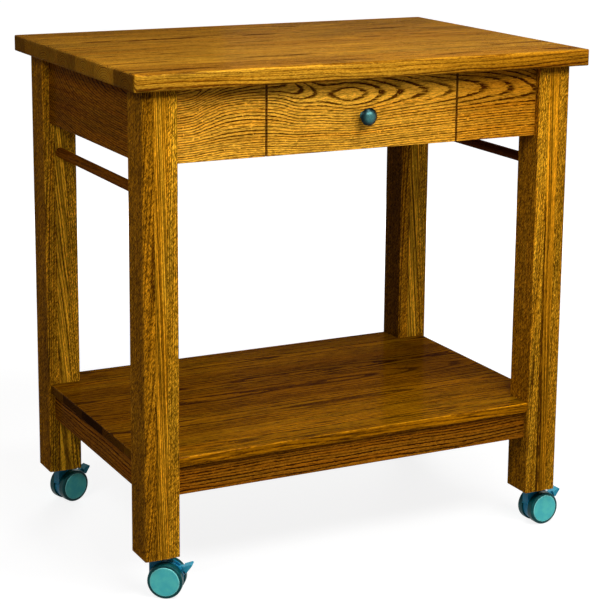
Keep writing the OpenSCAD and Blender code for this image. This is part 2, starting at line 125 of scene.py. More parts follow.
class Graph:
    """Writes shader nodes into one node tree, with a method for each kind of step."""

    def __init__(self, tree: bpy.types.NodeTree) -> None:
        """Starts on the node tree of a material or a node group.

        Args:
            tree: The node tree.
        """
        self.tree = tree

    def node(self, kind: str, **settings: object) -> bpy.types.Node:
        """Adds a node.

        Args:
            kind: The type of the node.
            settings: Properties to set on it.

        Returns:
            The new node.
        """
        made = self.tree.nodes.new(kind)
        for name, value in settings.items():
            setattr(made, name, value)
        return made

    def feed(self, socket: Socket, value: object) -> None:
        """Links a socket to another one, or sets its default to a number or a tuple.

        Args:
            socket: The input to feed.
            value: An output socket, a number or a tuple.
        """
        if isinstance(value, bpy.types.NodeSocket):
            self.tree.links.new(value, socket)
        elif socket.type == "RGBA" and len(value) == 3:
            socket.default_value = (*value, 1.0)
        else:
            socket.default_value = value

    def math(self, operation: str, *values: Value, clamp: bool = False) -> Socket:
        """Adds a Math node.

        Args:
            operation: What the node does.
            values: Its inputs, as sockets or numbers.
            clamp: Whether the result stays between 0 and 1.

        Returns:
            The result.
        """
        made = self.node("ShaderNodeMath", operation=operation, use_clamp=clamp)
        for socket, value in zip(made.inputs, values):
            self.feed(socket, value)
        return made.outputs[0]

    def scaled(self, value: Socket, factor: Value, offset: Value = 0.0) -> Socket:
        """Returns value * factor + offset."""
        return self.math("MULTIPLY_ADD", value, factor, offset)

    def centred(self, value: Socket) -> Socket:
        """Returns a value from 0 to 1 moved to lie about 0."""
        return self.scaled(value, 1.0, -0.5)

    def inverted(self, value: Socket) -> Socket:
        """Returns 1 - value."""
        return self.scaled(value, -1.0, 1.0)

    def vector(self, operation: str, *values: Socket | Triple) -> bpy.types.Node:
        """Adds a Vector Math node.

        Args:
            operation: What the node does.
            values: Its inputs, as sockets or tuples.

        Returns:
            The node, with its Vector and Value outputs.
        """
        made = self.node("ShaderNodeVectorMath", operation=operation)
        for socket, value in zip(made.inputs, values):
            self.feed(socket, value)
        return made

    def length(self, vector: Socket) -> Socket:
        """Returns the length of a vector."""
        return self.vector("LENGTH", vector).outputs["Value"]

    def split(self, vector: Socket) -> tuple[Socket, ...]:
        """Takes a vector apart.

        Args:
            vector: The vector.

        Returns:
            Its three parts.
        """
        made = self.node("ShaderNodeSeparateXYZ")
        self.feed(made.inputs[0], vector)
        return tuple(made.outputs)

    def join(self, *parts: Value) -> Socket:
        """Puts a vector together.

        Args:
            parts: Its three parts, as sockets or numbers.

        Returns:
            The vector.
        """
        made = self.node("ShaderNodeCombineXYZ")
        for socket, value in zip(made.inputs, parts):
            self.feed(socket, value)
        return made.outputs[0]

    def noise(self, vector: Socket, detail: float) -> Socket:
        """Adds 3-D noise whose lumps are about one unit across.

        Args:
            vector: Where the noise is read.
            detail: How many finer layers it has.

        Returns:
            The noise, about 0.5 on average.
        """
        made = self.node("ShaderNodeTexNoise", noise_dimensions="3D")
        self.feed(made.inputs["Vector"], vector)
        made.inputs["Scale"].default_value = 1.0
        made.inputs["Detail"].default_value = detail
        made.inputs["Roughness"].default_value = 0.5
        return made.outputs["Fac"]

    def mottle(self, place: Socket, mottle: Mottle) -> Socket:
        """Returns even noise."""
        return self.noise(self.vector("MULTIPLY", place, (mottle.pace,) * 3).outputs[0], mottle.detail)

    def random(self, *parts: Value) -> bpy.types.Node:
        """Adds white noise on a vector.

        Args:
            parts: The three parts of the vector that the random value depends on.

        Returns:
            The node, with its Value and Color outputs.
        """
        made = self.node("ShaderNodeTexWhiteNoise", noise_dimensions="3D")
        self.feed(made.inputs["Vector"], self.join(*parts))
        return made

    def ramp(self, value: Socket, step: Step) -> Socket:
        """Maps a value smoothly over a step.

        Args:
            value: The value to map.
            step: Where the step lies and what it gives.

        Returns:
            The mapped value.
        """
        made = self.node("ShaderNodeMapRange", interpolation_type="SMOOTHSTEP")
        for name, part in (("Value", value), ("From Min", step.start), ("From Max", step.end),
                           ("To Min", step.before), ("To Max", step.after)):
            self.feed(made.inputs[name], part)
        return made.outputs[0]

    def mix(self, share: Value, first: Socket | Colour, second: Socket | Colour,
            blend: str = "MIX") -> Socket:
        """Mixes two colours.

        Args:
            share: How much of the second colour there is.
            first: The first colour.
            second: The second colour.
            blend: How they mix.

        Returns:
            The mixed colour.
        """
        made = self.node("ShaderNodeMix", data_type="RGBA", blend_type=blend)
        self.feed(made.inputs[0], share)
        colours = [socket for socket in made.inputs if socket.type == "RGBA"]
        self.feed(colours[0], first)
        self.feed(colours[1], second)
        return next(socket for socket in made.outputs if socket.type == "RGBA")

    def bump(self, shader: bpy.types.Node, height: Socket, strength: float, relief: float) -> None:
        """Gives a shader's surface a fine relief.

        Args:
            shader: The Principled shader.
            height: The height over the surface, from 0 to 1.
            strength: How much of the relief shows.
            relief: How deep it is.
        """
        made = self.node("ShaderNodeBump")
        made.inputs["Strength"].default_value = strength
        made.inputs["Distance"].default_value = relief
        self.feed(made.inputs["Height"], height)
        self.feed(shader.inputs["Normal"], made.outputs["Normal"])

    def group(self, tree: bpy.types.NodeTree, **values: object) -> dict[str, Socket]:
        """Places a node group.

        Args:
            tree: The group.
            values: Its inputs by name, with _ for a space.

        Returns:
            The group's outputs by name.
        """
        made = self.node("ShaderNodeGroup", node_tree=tree)
        for name, value in values.items():
            self.feed(made.inputs[name.replace("_", " ")], value)
        return {socket.name: socket for socket in made.outputs}


@dataclass
class Effect:
    """A shader node group with named sockets that several materials share.

    Attributes:
        name: The group's name.
        inputs: What it takes, each name with its kind of socket.
        outputs: What it gives, in the same way.
        tree: The group itself.
        graph: The graph that fills it.
        given: Its inputs, by name, as they are used inside.
        sink: The node that takes its results.
    """

    name: str
    inputs: dict[str, str]
    outputs: dict[str, str]
    tree: bpy.types.NodeTree = field(init=False)
    graph: Graph = field(init=False)
    given: dict[str, Socket] = field(init=False)
    sink: bpy.types.Node = field(init=False)

    def __post_init__(self) -> None:
        """Makes the empty group with its sockets."""
        self.tree = bpy.data.node_groups.new(self.name, "ShaderNodeTree")
        for direction, sockets in (("INPUT", self.inputs), ("OUTPUT", self.outputs)):
            for name, kind in sockets.items():
                self.tree.interface.new_socket(name=name, in_out=direction, socket_type="NodeSocket" + kind)
        self.graph = Graph(self.tree)
        self.given = {socket.name: socket for socket in self.graph.node("NodeGroupInput").outputs}
        self.sink = self.graph.node("NodeGroupOutput")

    def give(self, **results: Socket) -> bpy.types.NodeTree:
        """Links the group's outputs.

        Args:
            results: What each output gives, by name, with _ for a space.

        Returns:
            The finished group.
        """
        for name, socket in results.items():
            self.graph.feed(self.sink.inputs[name.replace("_", " ")], socket)
        return self.tree


def floats(*names: str) -> dict[str, str]:
    """Returns sockets that each carry one number."""
    return {name: "Float" for name in names}


@dataclass(frozen=True)
class RingGrain:
    """The growth rings, pores and rays of oak, in the sizes that every board shares.

    Attributes:
        seed_step: How far one unit of seed moves the figure along the board.
        stray_pace: How often the heart of the trunk strays, to the metre.
        stray_gain: What makes the noise reach as far as a board's Stray.
        stray_detail: How many finer layers the straying has.
        stray_rows: The rows of noise that move the heart across and through the board.
        waves: The slow waves of the rings.
        bunch_pace: How soon wide rings follow narrow ones, to the ring.
        bunch_row: The row of noise that spaces the rings.
        bunch_detail: How many finer layers that noise has.
        teeth: The ragged edge of a ring.
        teeth_depth: How deep it is, in rings.
        porous_least: The least share of a ring that its porous line takes.
        porous_spread: How much more a good year adds to it.
        porous_fade: How that line fades over its own width.
        porous_start: How it starts over the ring.
        strength_least: How dark the line of a poor year is.
        strength_spread: How much more a good year adds to it.
        breaks: Where lines break up.
        break_step: How much of a line is left there.
        pores: The fine open pores.
        pore_pull: How much more pores open in a porous line.
        pore_step: Where the noise becomes a pore.
        dash_detail: How many finer layers the dashes have.
        dash_step: Where the noise becomes a dash.
        specks: The short dark specks.
        speck_step: Where the noise becomes a speck.
        streaks: The long streaks of stain.
        streak_step: How they go from pale to dark.
        ripples: The short ripples that climb over a quartered face.
        ripple_slope: How steeply they climb.
        ripple_step: How they go from pale to dark.
        ray_pace: How many rays there are to the metre along the board and out from the heart, and to
            one radian round it.
        ray_detail: How many finer layers the rays have.
        ray_step: Where the noise becomes a ray fleck.
        clouds: The slow clouds of the stain.
        drift: The slow change of its hue.
    """

    seed_step: float = 1.37
    stray_pace: float = 1.5
    stray_gain: float = 2.0
    stray_detail: float = 1.5
    stray_rows: tuple[float, float] = (3.1, 8.6)
    waves: Lumps = Lumps(0.16, 0.034, 2.0)
    bunch_pace: float = 0.31
    bunch_row: float = 1.7
    bunch_detail: float = 1.0
    teeth: Lumps = Lumps(0.009, 0.0016, 2.0)
    teeth_depth: float = 0.35
    porous_least: float = 0.36
    porous_spread: float = 0.20
    porous_fade: Step = Step(0.45, 1.0, 1.0, 0.0)
    porous_start: Step = Step(0.0, 0.06)
    strength_least: float = 0.65
    strength_spread: float = 0.35
    breaks: Lumps = Lumps(0.035, 0.005, 1.0)
    break_step: Step = Step(0.28, 0.5, 0.45, 1.0)
    pores: Lumps = Lumps(0.012, 0.0009, 1.0)
    pore_pull: float = 0.12
    pore_step: Step = Step(0.56, 0.66)
    dash_detail: float = 1.5
    dash_step: Step = Step(0.52, 0.66)
    specks: Lumps = Lumps(0.0050, 0.0014, 1.0)
    speck_step: Step = Step(0.44, 0.58)
    streaks: Lumps = Lumps(0.35, 0.0034, 2.5)
    streak_step: Step = Step(0.34, 0.66, -1.0, 1.0)
    ripples: Lumps = Lumps(0.0030, 0.012, 1.0)
    ripple_slope: float = 0.8
    ripple_step: Step = Step(0.36, 0.64, -1.0, 1.0)
    ray_pace: Triple = (170.0, 90.0, 30.0)
    ray_detail: float = 2.0
    ray_step: Step = Step(0.66, 0.72)
    clouds: Lumps = Lumps(0.30, 0.06, 3.0)
    drift: Lumps = Lumps(0.20, 0.011, 2.0)

    def build(self) -> bpy.types.NodeTree:
        """Builds the node group.

        Returns:
            The group. Place is along, across and through the board. The heart of the trunk runs along it
            at Heart Across and Heart Through, and strays from that line by Stray. Ring is the width of a
            ring, Flat widens the rings across the board, Bunch says how unevenly they are spaced and
            Waves how far they wave.
        """
        effect = Effect("Ring Porous Grain",
                        {"Place": "Vector"} | floats("Heart Across", "Heart Through", "Seed", "Ring", "Flat",
                                                     "Stray", "Bunch", "Waves", "Dash Length",
                                                     "Dash Width", "Dash Depth"),
                        floats("Line", "Pore", "Dash", "Speck", "Streak", "Ripple", "Fleck", "Cloud",
                               "Drift"))
        g, given = effect.graph, effect.given
        along, across, through = g.split(given["Place"])
        shift = g.scaled(given["Seed"], self.seed_step)
        place = (g.math("ADD", along, shift), across, through)
        from_across = self.off_heart(g, given, shift, along, across, "Heart Across", self.stray_rows[0])
        from_through = self.off_heart(g, given, shift, along, through, "Heart Through", self.stray_rows[1])
        radius = g.length(g.join(g.math("MULTIPLY", from_across, given["Flat"]), from_through, 0.0))
        radius = g.scaled(g.centred(self.layer(g, place, self.waves)), given["Waves"], radius)
        line = self.porous_line(g, given, shift, place, radius)
        pore = g.ramp(g.scaled(line, self.pore_pull, self.layer(g, place, self.pores)), self.pore_step)
        sizes = (given["Dash Length"], given["Dash Width"], given["Dash Depth"])
        cell = g.join(*(g.math("DIVIDE", part, size) for part, size in zip(place, sizes)))
        dash = g.ramp(g.noise(cell, self.dash_detail), self.dash_step)
        speck = g.ramp(self.layer(g, place, self.specks), self.speck_step)
        streak = g.ramp(self.layer(g, place, self.streaks), self.streak_step)
        rise = g.scaled(g.math("SUBTRACT", across, through), self.ripple_slope)
        climb = g.math("SUBTRACT", place[0], rise)
        ripple = g.ramp(self.layer(g, (climb, across, through), self.ripples), self.ripple_step)
        turn = g.math("ARCTAN2", from_across, from_through)
        rays = g.join(*(g.scaled(part, pace) for part, pace in zip((place[0], radius, turn), self.ray_pace)))
        fleck = g.ramp(g.noise(rays, self.ray_detail), self.ray_step)
        return effect.give(Line=line, Pore=pore, Dash=dash, Speck=speck, Streak=streak, Ripple=ripple,
                           Fleck=fleck, Cloud=self.layer(g, place, self.clouds),
                           Drift=self.layer(g, place, self.drift))

    @staticmethod
    def layer(g: Graph, place: tuple[Socket, ...], lumps: Lumps) -> Socket:
        """Adds noise that is drawn out along the board.

        Args:
            g: The group's graph.
            place: The place along, across and through the board.
            lumps: The size of the noise.

        Returns:
            The noise.
        """
        along, across, through = place
        spot = g.join(g.scaled(along, 1 / lumps.length), g.scaled(across, 1 / lumps.width),
                      g.scaled(through, 1 / lumps.width))
        return g.noise(spot, lumps.detail)

    def off_heart(self, g: Graph, given: dict[str, Socket], shift: Socket, along: Socket, side: Socket,
                  heart: str, row: float) -> Socket:
        """Measures how far a place lies from the straying heart of the trunk, in one direction.

        Args:
            g: The group's graph.
            given: The group's inputs.
            shift: What tells the figures of two boards apart.
            along: The place along the board.
            side: The place across or through it.
            heart: The input that says where the heart lies in that direction.
            row: The row of noise by which it strays.

        Returns:
            The distance, with its sign.
        """
        stray = g.centred(g.noise(g.join(g.scaled(along, self.stray_pace), shift, row), self.stray_detail))
        reach = g.scaled(given["Stray"], self.stray_gain)
        return g.math("SUBTRACT", side, g.scaled(stray, reach, given[heart]))

    def porous_line(self, g: Graph, given: dict[str, Socket], shift: Socket, place: tuple[Socket, ...],
                    radius: Socket) -> Socket:
        """Draws the open-pored line with which each ring starts.

        Args:
            g: The group's graph.
            given: The group's inputs.
            shift: What tells the figures of two boards apart.
            place: The place along, across and through the board.
            radius: How far it lies from the heart.

        Returns:
            How much of the line there is.
        """
        count = g.math("DIVIDE", radius, given["Ring"])
        bunch = g.noise(g.join(g.scaled(count, self.bunch_pace), shift, self.bunch_row), self.bunch_detail)
        count = g.scaled(bunch, given["Bunch"], count)
        count = g.scaled(g.centred(self.layer(g, place, self.teeth)), self.teeth_depth, count)
        phase = g.math("FRACT", count)
        year = g.random(g.math("FLOOR", count), shift, 0.0).outputs["Value"]
        width = g.scaled(year, self.porous_spread, self.porous_least)
        early = g.ramp(g.math("DIVIDE", phase, width), self.porous_fade)
        early = g.math("MULTIPLY", early, g.ramp(phase, self.porous_start))
        left = g.ramp(self.layer(g, place, self.breaks), self.break_step)
        strength = g.math("MULTIPLY", g.scaled(year, self.strength_spread, self.strength_least), left)
        return g.math("MULTIPLY", early, strength)


@dataclass(frozen=True)
class GluedBoards:
    """Boards or laths glued edge to edge, each sawn from another trunk.

    Attributes:
        heart_row: The row of random numbers that gives a board its heart and tone.
        lean_row: The row that gives it its lean.
        heart_across: The width of the strip, over the board's middle, in which its heart lies.
        heart_least: How far it lies at least from the piece's own heart line, through the piece.
        heart_deeper: How much further it may lie.
        seed_step: How far the seeds of two neighbours lie apart.
        seam: How dark a glue line is, by the distance from it.
        second: The index of the board that the Second output marks.
    """

    heart_row: float = 2.0
    lean_row: float = 5.0
    heart_across: float = 0.10
    heart_least: float = 0.012
    heart_deeper: float = 0.05
    seed_step: float = 1.9
    seam: Step = Step(0.0, 0.0006, 0.4, 0.0)
    second: float = 1.0

    def build(self) -> bpy.types.NodeTree:
        """Builds the node group.

        Returns:
            The group. It puts out where the heart of each board's trunk lies, its tone, its lean, its
            seed, its glue lines and whether it is the second board.
        """
        effect = Effect("Glued Boards",
                        {"Place": "Vector"} | floats("Start", "Width", "Seed"),
                        floats("Heart Across", "Heart Through", "Tone", "Lean", "Seed", "Seam", "Second"))
        g, given = effect.graph, effect.given
        across = g.split(given["Place"])[1]
        lane = g.math("DIVIDE", g.math("SUBTRACT", across, given["Start"]), given["Width"])
        index = g.math("FLOOR", lane)
        inside = g.math("FRACT", lane)
        first, second, tone = g.split(g.random(index, given["Seed"], self.heart_row).outputs["Color"])
        lean = g.random(index, given["Seed"], self.lean_row).outputs["Value"]
        middle = g.math("SUBTRACT", across, g.math("MULTIPLY", g.centred(inside), given["Width"]))
        heart_across = g.math("ADD", middle, g.scaled(first, self.heart_across, -self.heart_across / 2))
        rim = g.math("MINIMUM", inside, g.inverted(inside))
        return effect.give(Heart_Across=heart_across,
                           Heart_Through=g.scaled(second, -self.heart_deeper, -self.heart_least),
                           Tone=tone,
                           Lean=g.scaled(lean, 2.0, -1.0),
                           Seam=g.ramp(g.math("MULTIPLY", rim, given["Width"]), self.seam),
                           Seed=g.scaled(index, self.seed_step, given["Seed"]),
                           Second=g.math("COMPARE", index, self.second, 0.5))


@dataclass(frozen=True)
class WornAndHighlitEdges:
    """The edges of a piece's box, where hands and cloths wear the finish and where a highlight is painted on
    the rounded edges of the top and shelf.

    Attributes:
        ragged: The noise that makes the wear uneven.
        reach_least: The least reach of the wear, in widths.
        reach_spread: How much further it may reach.
        fade: How it fades over its reach.
    """

    ragged: Mottle = Mottle(170.0, 3.0)
    reach_least: float = 0.1
    reach_spread: float = 1.8
    fade: Step = Step(0.0, 1.0, 1.0, 0.0)

    def build(self) -> bpy.types.NodeTree:
        """Builds the node group.

        Returns:
            The group. Low and High are the corners of the box. Edge is 1 on an edge and falls to 0 at
            about Width from it.
        """
        effect = Effect("Worn Edges",
                        {"Place": "Vector", "Low": "Vector", "High": "Vector", "Width": "Float"},
                        {"Edge": "Float"})
        g, given = effect.graph, effect.given
        lower = g.vector("SUBTRACT", given["Place"], given["Low"]).outputs[0]
        upper = g.vector("SUBTRACT", given["High"], given["Place"]).outputs[0]
        x, y, z = g.split(g.vector("MINIMUM", lower, upper).outputs[0])
        least = g.math("MINIMUM", g.math("MINIMUM", x, y), z)
        most = g.math("MAXIMUM", g.math("MAXIMUM", x, y), z)
        total = g.math("ADD", g.math("ADD", x, y), z)
        second = g.math("SUBTRACT", g.math("SUBTRACT", total, least), most)
        ragged = g.mottle(given["Place"], self.ragged)
        reach = g.math("MULTIPLY", given["Width"], g.scaled(ragged, self.reach_spread, self.reach_least))
        return effect.give(Edge=g.ramp(g.math("DIVIDE", second, reach), self.fade))


@dataclass(frozen=True)
class Stain:
    """How stain and lacquer colour the grain of timber.

    Attributes:
        end_pores: How much the pores show on end grain.
        flank_pores: How much more they show on the other faces.
        fleck_shine: How far a ray fleck takes the colour of late wood.
        end_soak: How far end grain takes the colour of the pores.
        warm_tint: The tint of a warm board.
        tone_in_hue: How much a board's tone moves its hue.
        hue_step: How the hue goes from red to yellow.
        red_hue: The tint at its red end.
        yellow_hue: The tint at its yellow end.
        cloud_shade: How dark and how pale the clouds make the wood.
        tone_least: How bright a board of tone 0 is.
        tone_spread: How much brighter a board of tone 1 is.
        fleck_light: How much brighter a ray fleck is.
        seam_shade: How much darker a glue line is, and the painted shade along the ends of a board at a gap.
        end_tone: How much more a board's tone shows on its end grain.
        rough_lines: How much rougher a porous line is.
        rough_pores: How much rougher a pore is.
        rough_edges: How much rougher a worn edge is.
        smooth_flecks: How much smoother a ray fleck is.
        low_lines: How far a porous line lies below the face, in reliefs.
        low_pores: How far a pore lies below it.
        low_seams: How far a glue line lies below it.
    """

    end_pores: float = 0.2
    flank_pores: float = 0.4
    fleck_shine: float = 0.6
    end_soak: float = 0.5
    warm_tint: Colour = (0.74, 0.62, 0.34)
    tone_in_hue: float = 0.5
    hue_step: Step = Step(0.45, 1.05)
    red_hue: Colour = (1.06, 0.88, 0.60)
    yellow_hue: Colour = (1.0, 1.02, 1.15)
    cloud_shade: Step = Step(0.25, 0.75, 0.80, 1.18)
    tone_least: float = 0.75
    tone_spread: float = 0.5
    fleck_light: float = 0.25
    seam_shade: float = 0.85
    end_tone: float = 1.4
    rough_lines: float = 0.10
    rough_pores: float = 0.15
    rough_edges: float = 0.08
    smooth_flecks: float = 0.06
    low_lines: float = 0.5
    low_pores: float = 0.5
    low_seams: float = 0.6

    def build(self) -> bpy.types.NodeTree:
        """Builds the node group.

        Returns:
            The group, with Color, Roughness and Height.
        """
        effect = Effect("Stained Timber",
                        floats("Line", "Pore", "Dash", "Speck", "Streak", "Ripple", "Fleck", "Cloud",
                               "Drift", "Tone", "Warm", "End", "Edge", "Rim", "Seam", "Contrast", "Dashes",
                               "Speckle", "Streaks", "Ripples", "Flecks", "Gloss")
                        | {"Late Wood": "Color", "Early Wood": "Color", "Pores": "Color"},
                        {"Color": "Color", "Roughness": "Float", "Height": "Float"})
        g, given = effect.graph, effect.given
        line = g.math("MULTIPLY", given["Line"], given["Contrast"], clamp=True)
        fleck = g.math("MULTIPLY", given["Fleck"], given["Flecks"])
        colour = self.tint(g, given, self.marks(g, given, line, fleck))
        shade = self.shade(g, given, fleck)
        colour = g.mix(1.0, colour, g.join(shade, shade, shade), "MULTIPLY")
        rough = g.math("ADD", given["Gloss"], g.scaled(line, self.rough_lines))
        rough = g.math("ADD", rough, g.scaled(given["Pore"], self.rough_pores))
        rough = g.math("ADD", rough, g.scaled(given["Edge"], self.rough_edges))
        rough = g.math("ADD", rough, g.scaled(fleck, -self.smooth_flecks), clamp=True)
        height = g.scaled(line, -self.low_lines, 1.0)
        height = g.math("ADD", height, g.scaled(given["Pore"], -self.low_pores))
        height = g.math("ADD", height, g.scaled(given["Seam"], -self.low_seams))
        return effect.give(Color=colour, Roughness=rough, Height=height)

    def marks(self, g: Graph, given: dict[str, Socket], line: Socket, fleck: Socket) -> Socket:
        """Lays the marks of the grain over each other.

        Args:
            g: The group's graph.
            given: The group's inputs.
            line: The porous lines.
            fleck: The ray flecks.

        Returns:
            The colour of the marked wood.
        """
        flank = g.inverted(given["End"])
        specks = g.math("MULTIPLY", g.math("MULTIPLY", given["Speck"], flank), given["Speckle"])
        dashes = g.math("MULTIPLY", g.math("MULTIPLY", given["Dash"], flank), given["Dashes"])
        pores = g.math("MULTIPLY", given["Pore"], g.scaled(flank, self.flank_pores, self.end_pores))
        colour = g.mix(line, given["Late Wood"], given["Early Wood"])
        colour = g.mix(specks, colour, given["Early Wood"])
        colour = g.mix(dashes, colour, given["Pores"])
        colour = g.mix(pores, colour, given["Pores"])
        colour = g.mix(g.math("MULTIPLY", fleck, self.fleck_shine), colour, given["Late Wood"])
        return g.mix(g.math("MULTIPLY", given["End"], self.end_soak), colour, given["Pores"])

    def tint(self, g: Graph, given: dict[str, Socket], colour: Socket) -> Socket:
        """Tints the wood, more in one place than in another.

        Args:
            g: The group's graph.
            given: The group's inputs.
            colour: The colour of the marked wood.

        Returns:
            The tinted colour.
        """
        colour = g.mix(given["Warm"], colour, self.warm_tint, "MULTIPLY")
        yellow = g.ramp(g.scaled(given["Tone"], self.tone_in_hue, given["Drift"]), self.hue_step)
        return g.mix(1.0, colour, g.mix(yellow, self.red_hue, self.yellow_hue), "MULTIPLY")

    def shade(self, g: Graph, given: dict[str, Socket], fleck: Socket) -> Socket:
        """Works out how bright the wood is.

        Args:
            g: The group's graph.
            given: The group's inputs.
            fleck: The ray flecks.

        Returns:
            The factor on its colour.
        """
        end_tone = g.scaled(given["Tone"], self.end_tone, -self.end_tone / 2)
        shade = g.ramp(given["Cloud"], self.cloud_shade)
        for factor in (g.scaled(given["Tone"], self.tone_spread, self.tone_least),
                       g.scaled(given["Streak"], given["Streaks"], 1.0),
                       g.scaled(given["Ripple"], given["Ripples"], 1.0),
                       # Paler edges: wear, and on the top and shelf a painted highlight.
                       g.scaled(given["Edge"], given["Rim"], 1.0),
                       g.scaled(fleck, self.fleck_light, 1.0),
                       g.scaled(given["Seam"], -self.seam_shade, 1.0),
                       g.scaled(given["End"], end_tone, 1.0)):
            shade = g.math("MULTIPLY", shade, factor)
        return shade


class WoodEffects:
    """The node groups that all the timber shares."""

    def __init__(self) -> None:
        """Builds each group once."""
        self.grain = RingGrain().build()
        self.staves = GluedBoards().build()
        self.edges = WornAndHighlitEdges().build()
        self.stain = Stain().build()


@dataclass(frozen=True)
class TimberFinish:
    """How a kind of timber is coloured and lacquered.

    Attributes:
        name: What the names of its materials start with.
        late_wood: The colour of the dense part of a ring.
        early_wood: The colour of the porous part.
        pores: The colour of open pores and of end grain.
        contrast: How strongly the porous lines show.
        dashes: How much the dashes show.
        speckle: How much the specks show.
        streaks: How much the streaks of stain change the brightness.
        ripples: How much the ripples of a quartered face change it.
        flecks: How much the ray flecks show.
        gloss: How rough the lacquer is.
        lustre: How much the wood shines from within.
        lustre_tint: The colour of that shine when it grazes the face.
        coat: How much clear coat the faces have.
        edge_coat: How much more the worn edges have.
        rim: How much paler the edges are: worn edges, and a painted highlight along the rounded edges of the
            top and shelf.
        coat_roughness: How rough that coat is.
        relief: How deep the pores lie.
    """

    name: str
    late_wood: Colour
    early_wood: Colour
    pores: Colour
    contrast: float = 1.0
    dashes: float = 0.3
    speckle: float = 0.35
    streaks: float = 0.12
    ripples: float = 0.0
    flecks: float = 1.0
    gloss: float = 0.36
    lustre: float = 0.10
    lustre_tint: Colour = srgb(200, 146, 12)
    coat: float = 0.01
    edge_coat: float = 0.05
    rim: float = 0.22
    coat_roughness: float = 0.16
    relief: float = 0.00012


@dataclass(frozen=True)
class Board:
    """How a piece of timber was cut, glued and stained.

    Attributes:
        node: The CAD node.
        grain: Which way it was cut.
        heart: Where the heart of its trunk runs, across and through the board.
        ring: The width of a ring.
        flat: How much the rings are widened across the board.
        stray: How far the heart strays from a straight line.
        tone: How pale the board is, about 0 to 1.
        tone_spread: How much the tones of its glued boards differ.
        lean: How steeply the grain of its glued boards may lean.
        seed: What tells its figure from others.
        stave: The width of the boards or laths it is glued from, or 0 for one solid board.
        bunch: How unevenly its rings are spaced.
        waves: How far its rings wave.
        dash_length: How long its dashes are.
        dash_width: How wide they are across the board.
        dash_depth: How wide they are through it.
        warm_from: Where along the board a warmer stain begins.
        warm_to: Where it is full.
        warm_edges_only: Whether only the faces that look across the board take it.
        painted_face_shading: How much paler or darker those faces are, which paints light and shade onto one
            side of a piece: paler front and back faces on the top and shelf, darker side faces on the legs.
        painted_gap_shade: The width of the painted shade along each end, where the board meets the next
            across a gap.
        straight_core: How much plainer and straighter the second of its laths is.
    """

    node: str
    grain: Grain
    heart: tuple[float, float]
    ring: float = 0.0035
    flat: float = 1.0
    stray: float = 0.012
    tone: float = 0.5
    tone_spread: float = 0.8
    lean: float = 0.0
    seed: float = 1.0
    stave: float = 0.0
    bunch: float = 0.9
    waves: float = 0.006
    dash_length: float = 0.025
    dash_width: float = 0.003
    dash_depth: float = 0.003
    warm_from: float = 9.0
    warm_to: float = 10.0
    warm_edges_only: bool = False
    painted_face_shading: float = 0.0
    painted_gap_shade: float = 0.0
    straight_core: float = 0.0


@dataclass(frozen=True)
class Course:
    """A length that changes along a board.

    Attributes:
        low: The least length that the curve can show.
        high: The greatest.
        points: A few points of place and length, which the curve runs through.
    """

    low: float
    high: float
    points: tuple[tuple[float, float], ...]

    def read(self, g: Graph, along: Socket) -> Socket:
        """Adds the curve through the points.

        Args:
            g: The group's graph.
            along: The place along the board.

        Returns:
            The length at that place.
        """
        curve = g.node("ShaderNodeFloatCurve")
        line = curve.mapping.curves[0]
        start, end = self.points[0][0], self.points[-1][0]
        span, reach = end - start, self.high - self.low
        spots = [((place - start) / span, (length - self.low) / reach) for place, length in self.points]
        line.points[0].location = spots[0]
        line.points[1].location = spots[-1]
        for spot in spots[1:-1]:
            line.points.new(*spot)
        curve.mapping.update()
        g.feed(curve.inputs["Value"], g.scaled(along, 1.0 / span, -start / span))
        return g.scaled(curve.outputs[0], reach, self.low)


@dataclass(frozen=True)
class HeartPath:
    """How the heart of the trunk runs behind a board's face.

    Attributes:
        name: The name of its node group.
        height: Its height.
        depth: Its depth behind the face.
        hold: How much of the height's course the rings follow, by the place across the board.
    """

    name: str
    height: Course
    depth: Course
    hold: Step = Step(0.80, 0.88, 1.0, 1.0)

    def build(self) -> bpy.types.NodeTree:
        """Builds the node group.

        Returns:
            The group. It takes a place along and across the board and where a straight heart would lie, and
            puts out where the heart lies there.
        """
        effect = Effect(self.name, floats("Along", "Across", "Heart Across", "Heart Through"),
                        floats("Heart Across", "Heart Through"))
        g, given = effect.graph, effect.given
        rise = g.math("SUBTRACT", self.height.read(g, given["Along"]), given["Heart Across"])
        held = g.ramp(given["Across"], self.hold)
        depth = self.depth.read(g, given["Along"])
        return effect.give(Heart_Across=g.scaled(rise, held, given["Heart Across"]),
                           Heart_Through=g.math("ADD", depth, given["Heart Through"]))


# Its strong pale rim is a painted highlight on the top's rounded edges.
TOP_OAK = TimberFinish("top_oak", srgb(185, 133, 30), srgb(96, 52, 4), srgb(56, 26, 2),
                       dashes=0.5, lustre=0.05, rim=0.6)
FRONT_OAK = TimberFinish("front_oak", srgb(232, 168, 46), srgb(84, 44, 4), srgb(50, 22, 2),
                         contrast=1.3, dashes=0.5, speckle=0.25)
LEG_OAK = TimberFinish("leg_oak", srgb(220, 158, 30), srgb(70, 36, 2), srgb(48, 22, 2),
                       contrast=0.85, dashes=0.15, speckle=0.73, streaks=0.22, ripples=0.25, lustre=0.05)
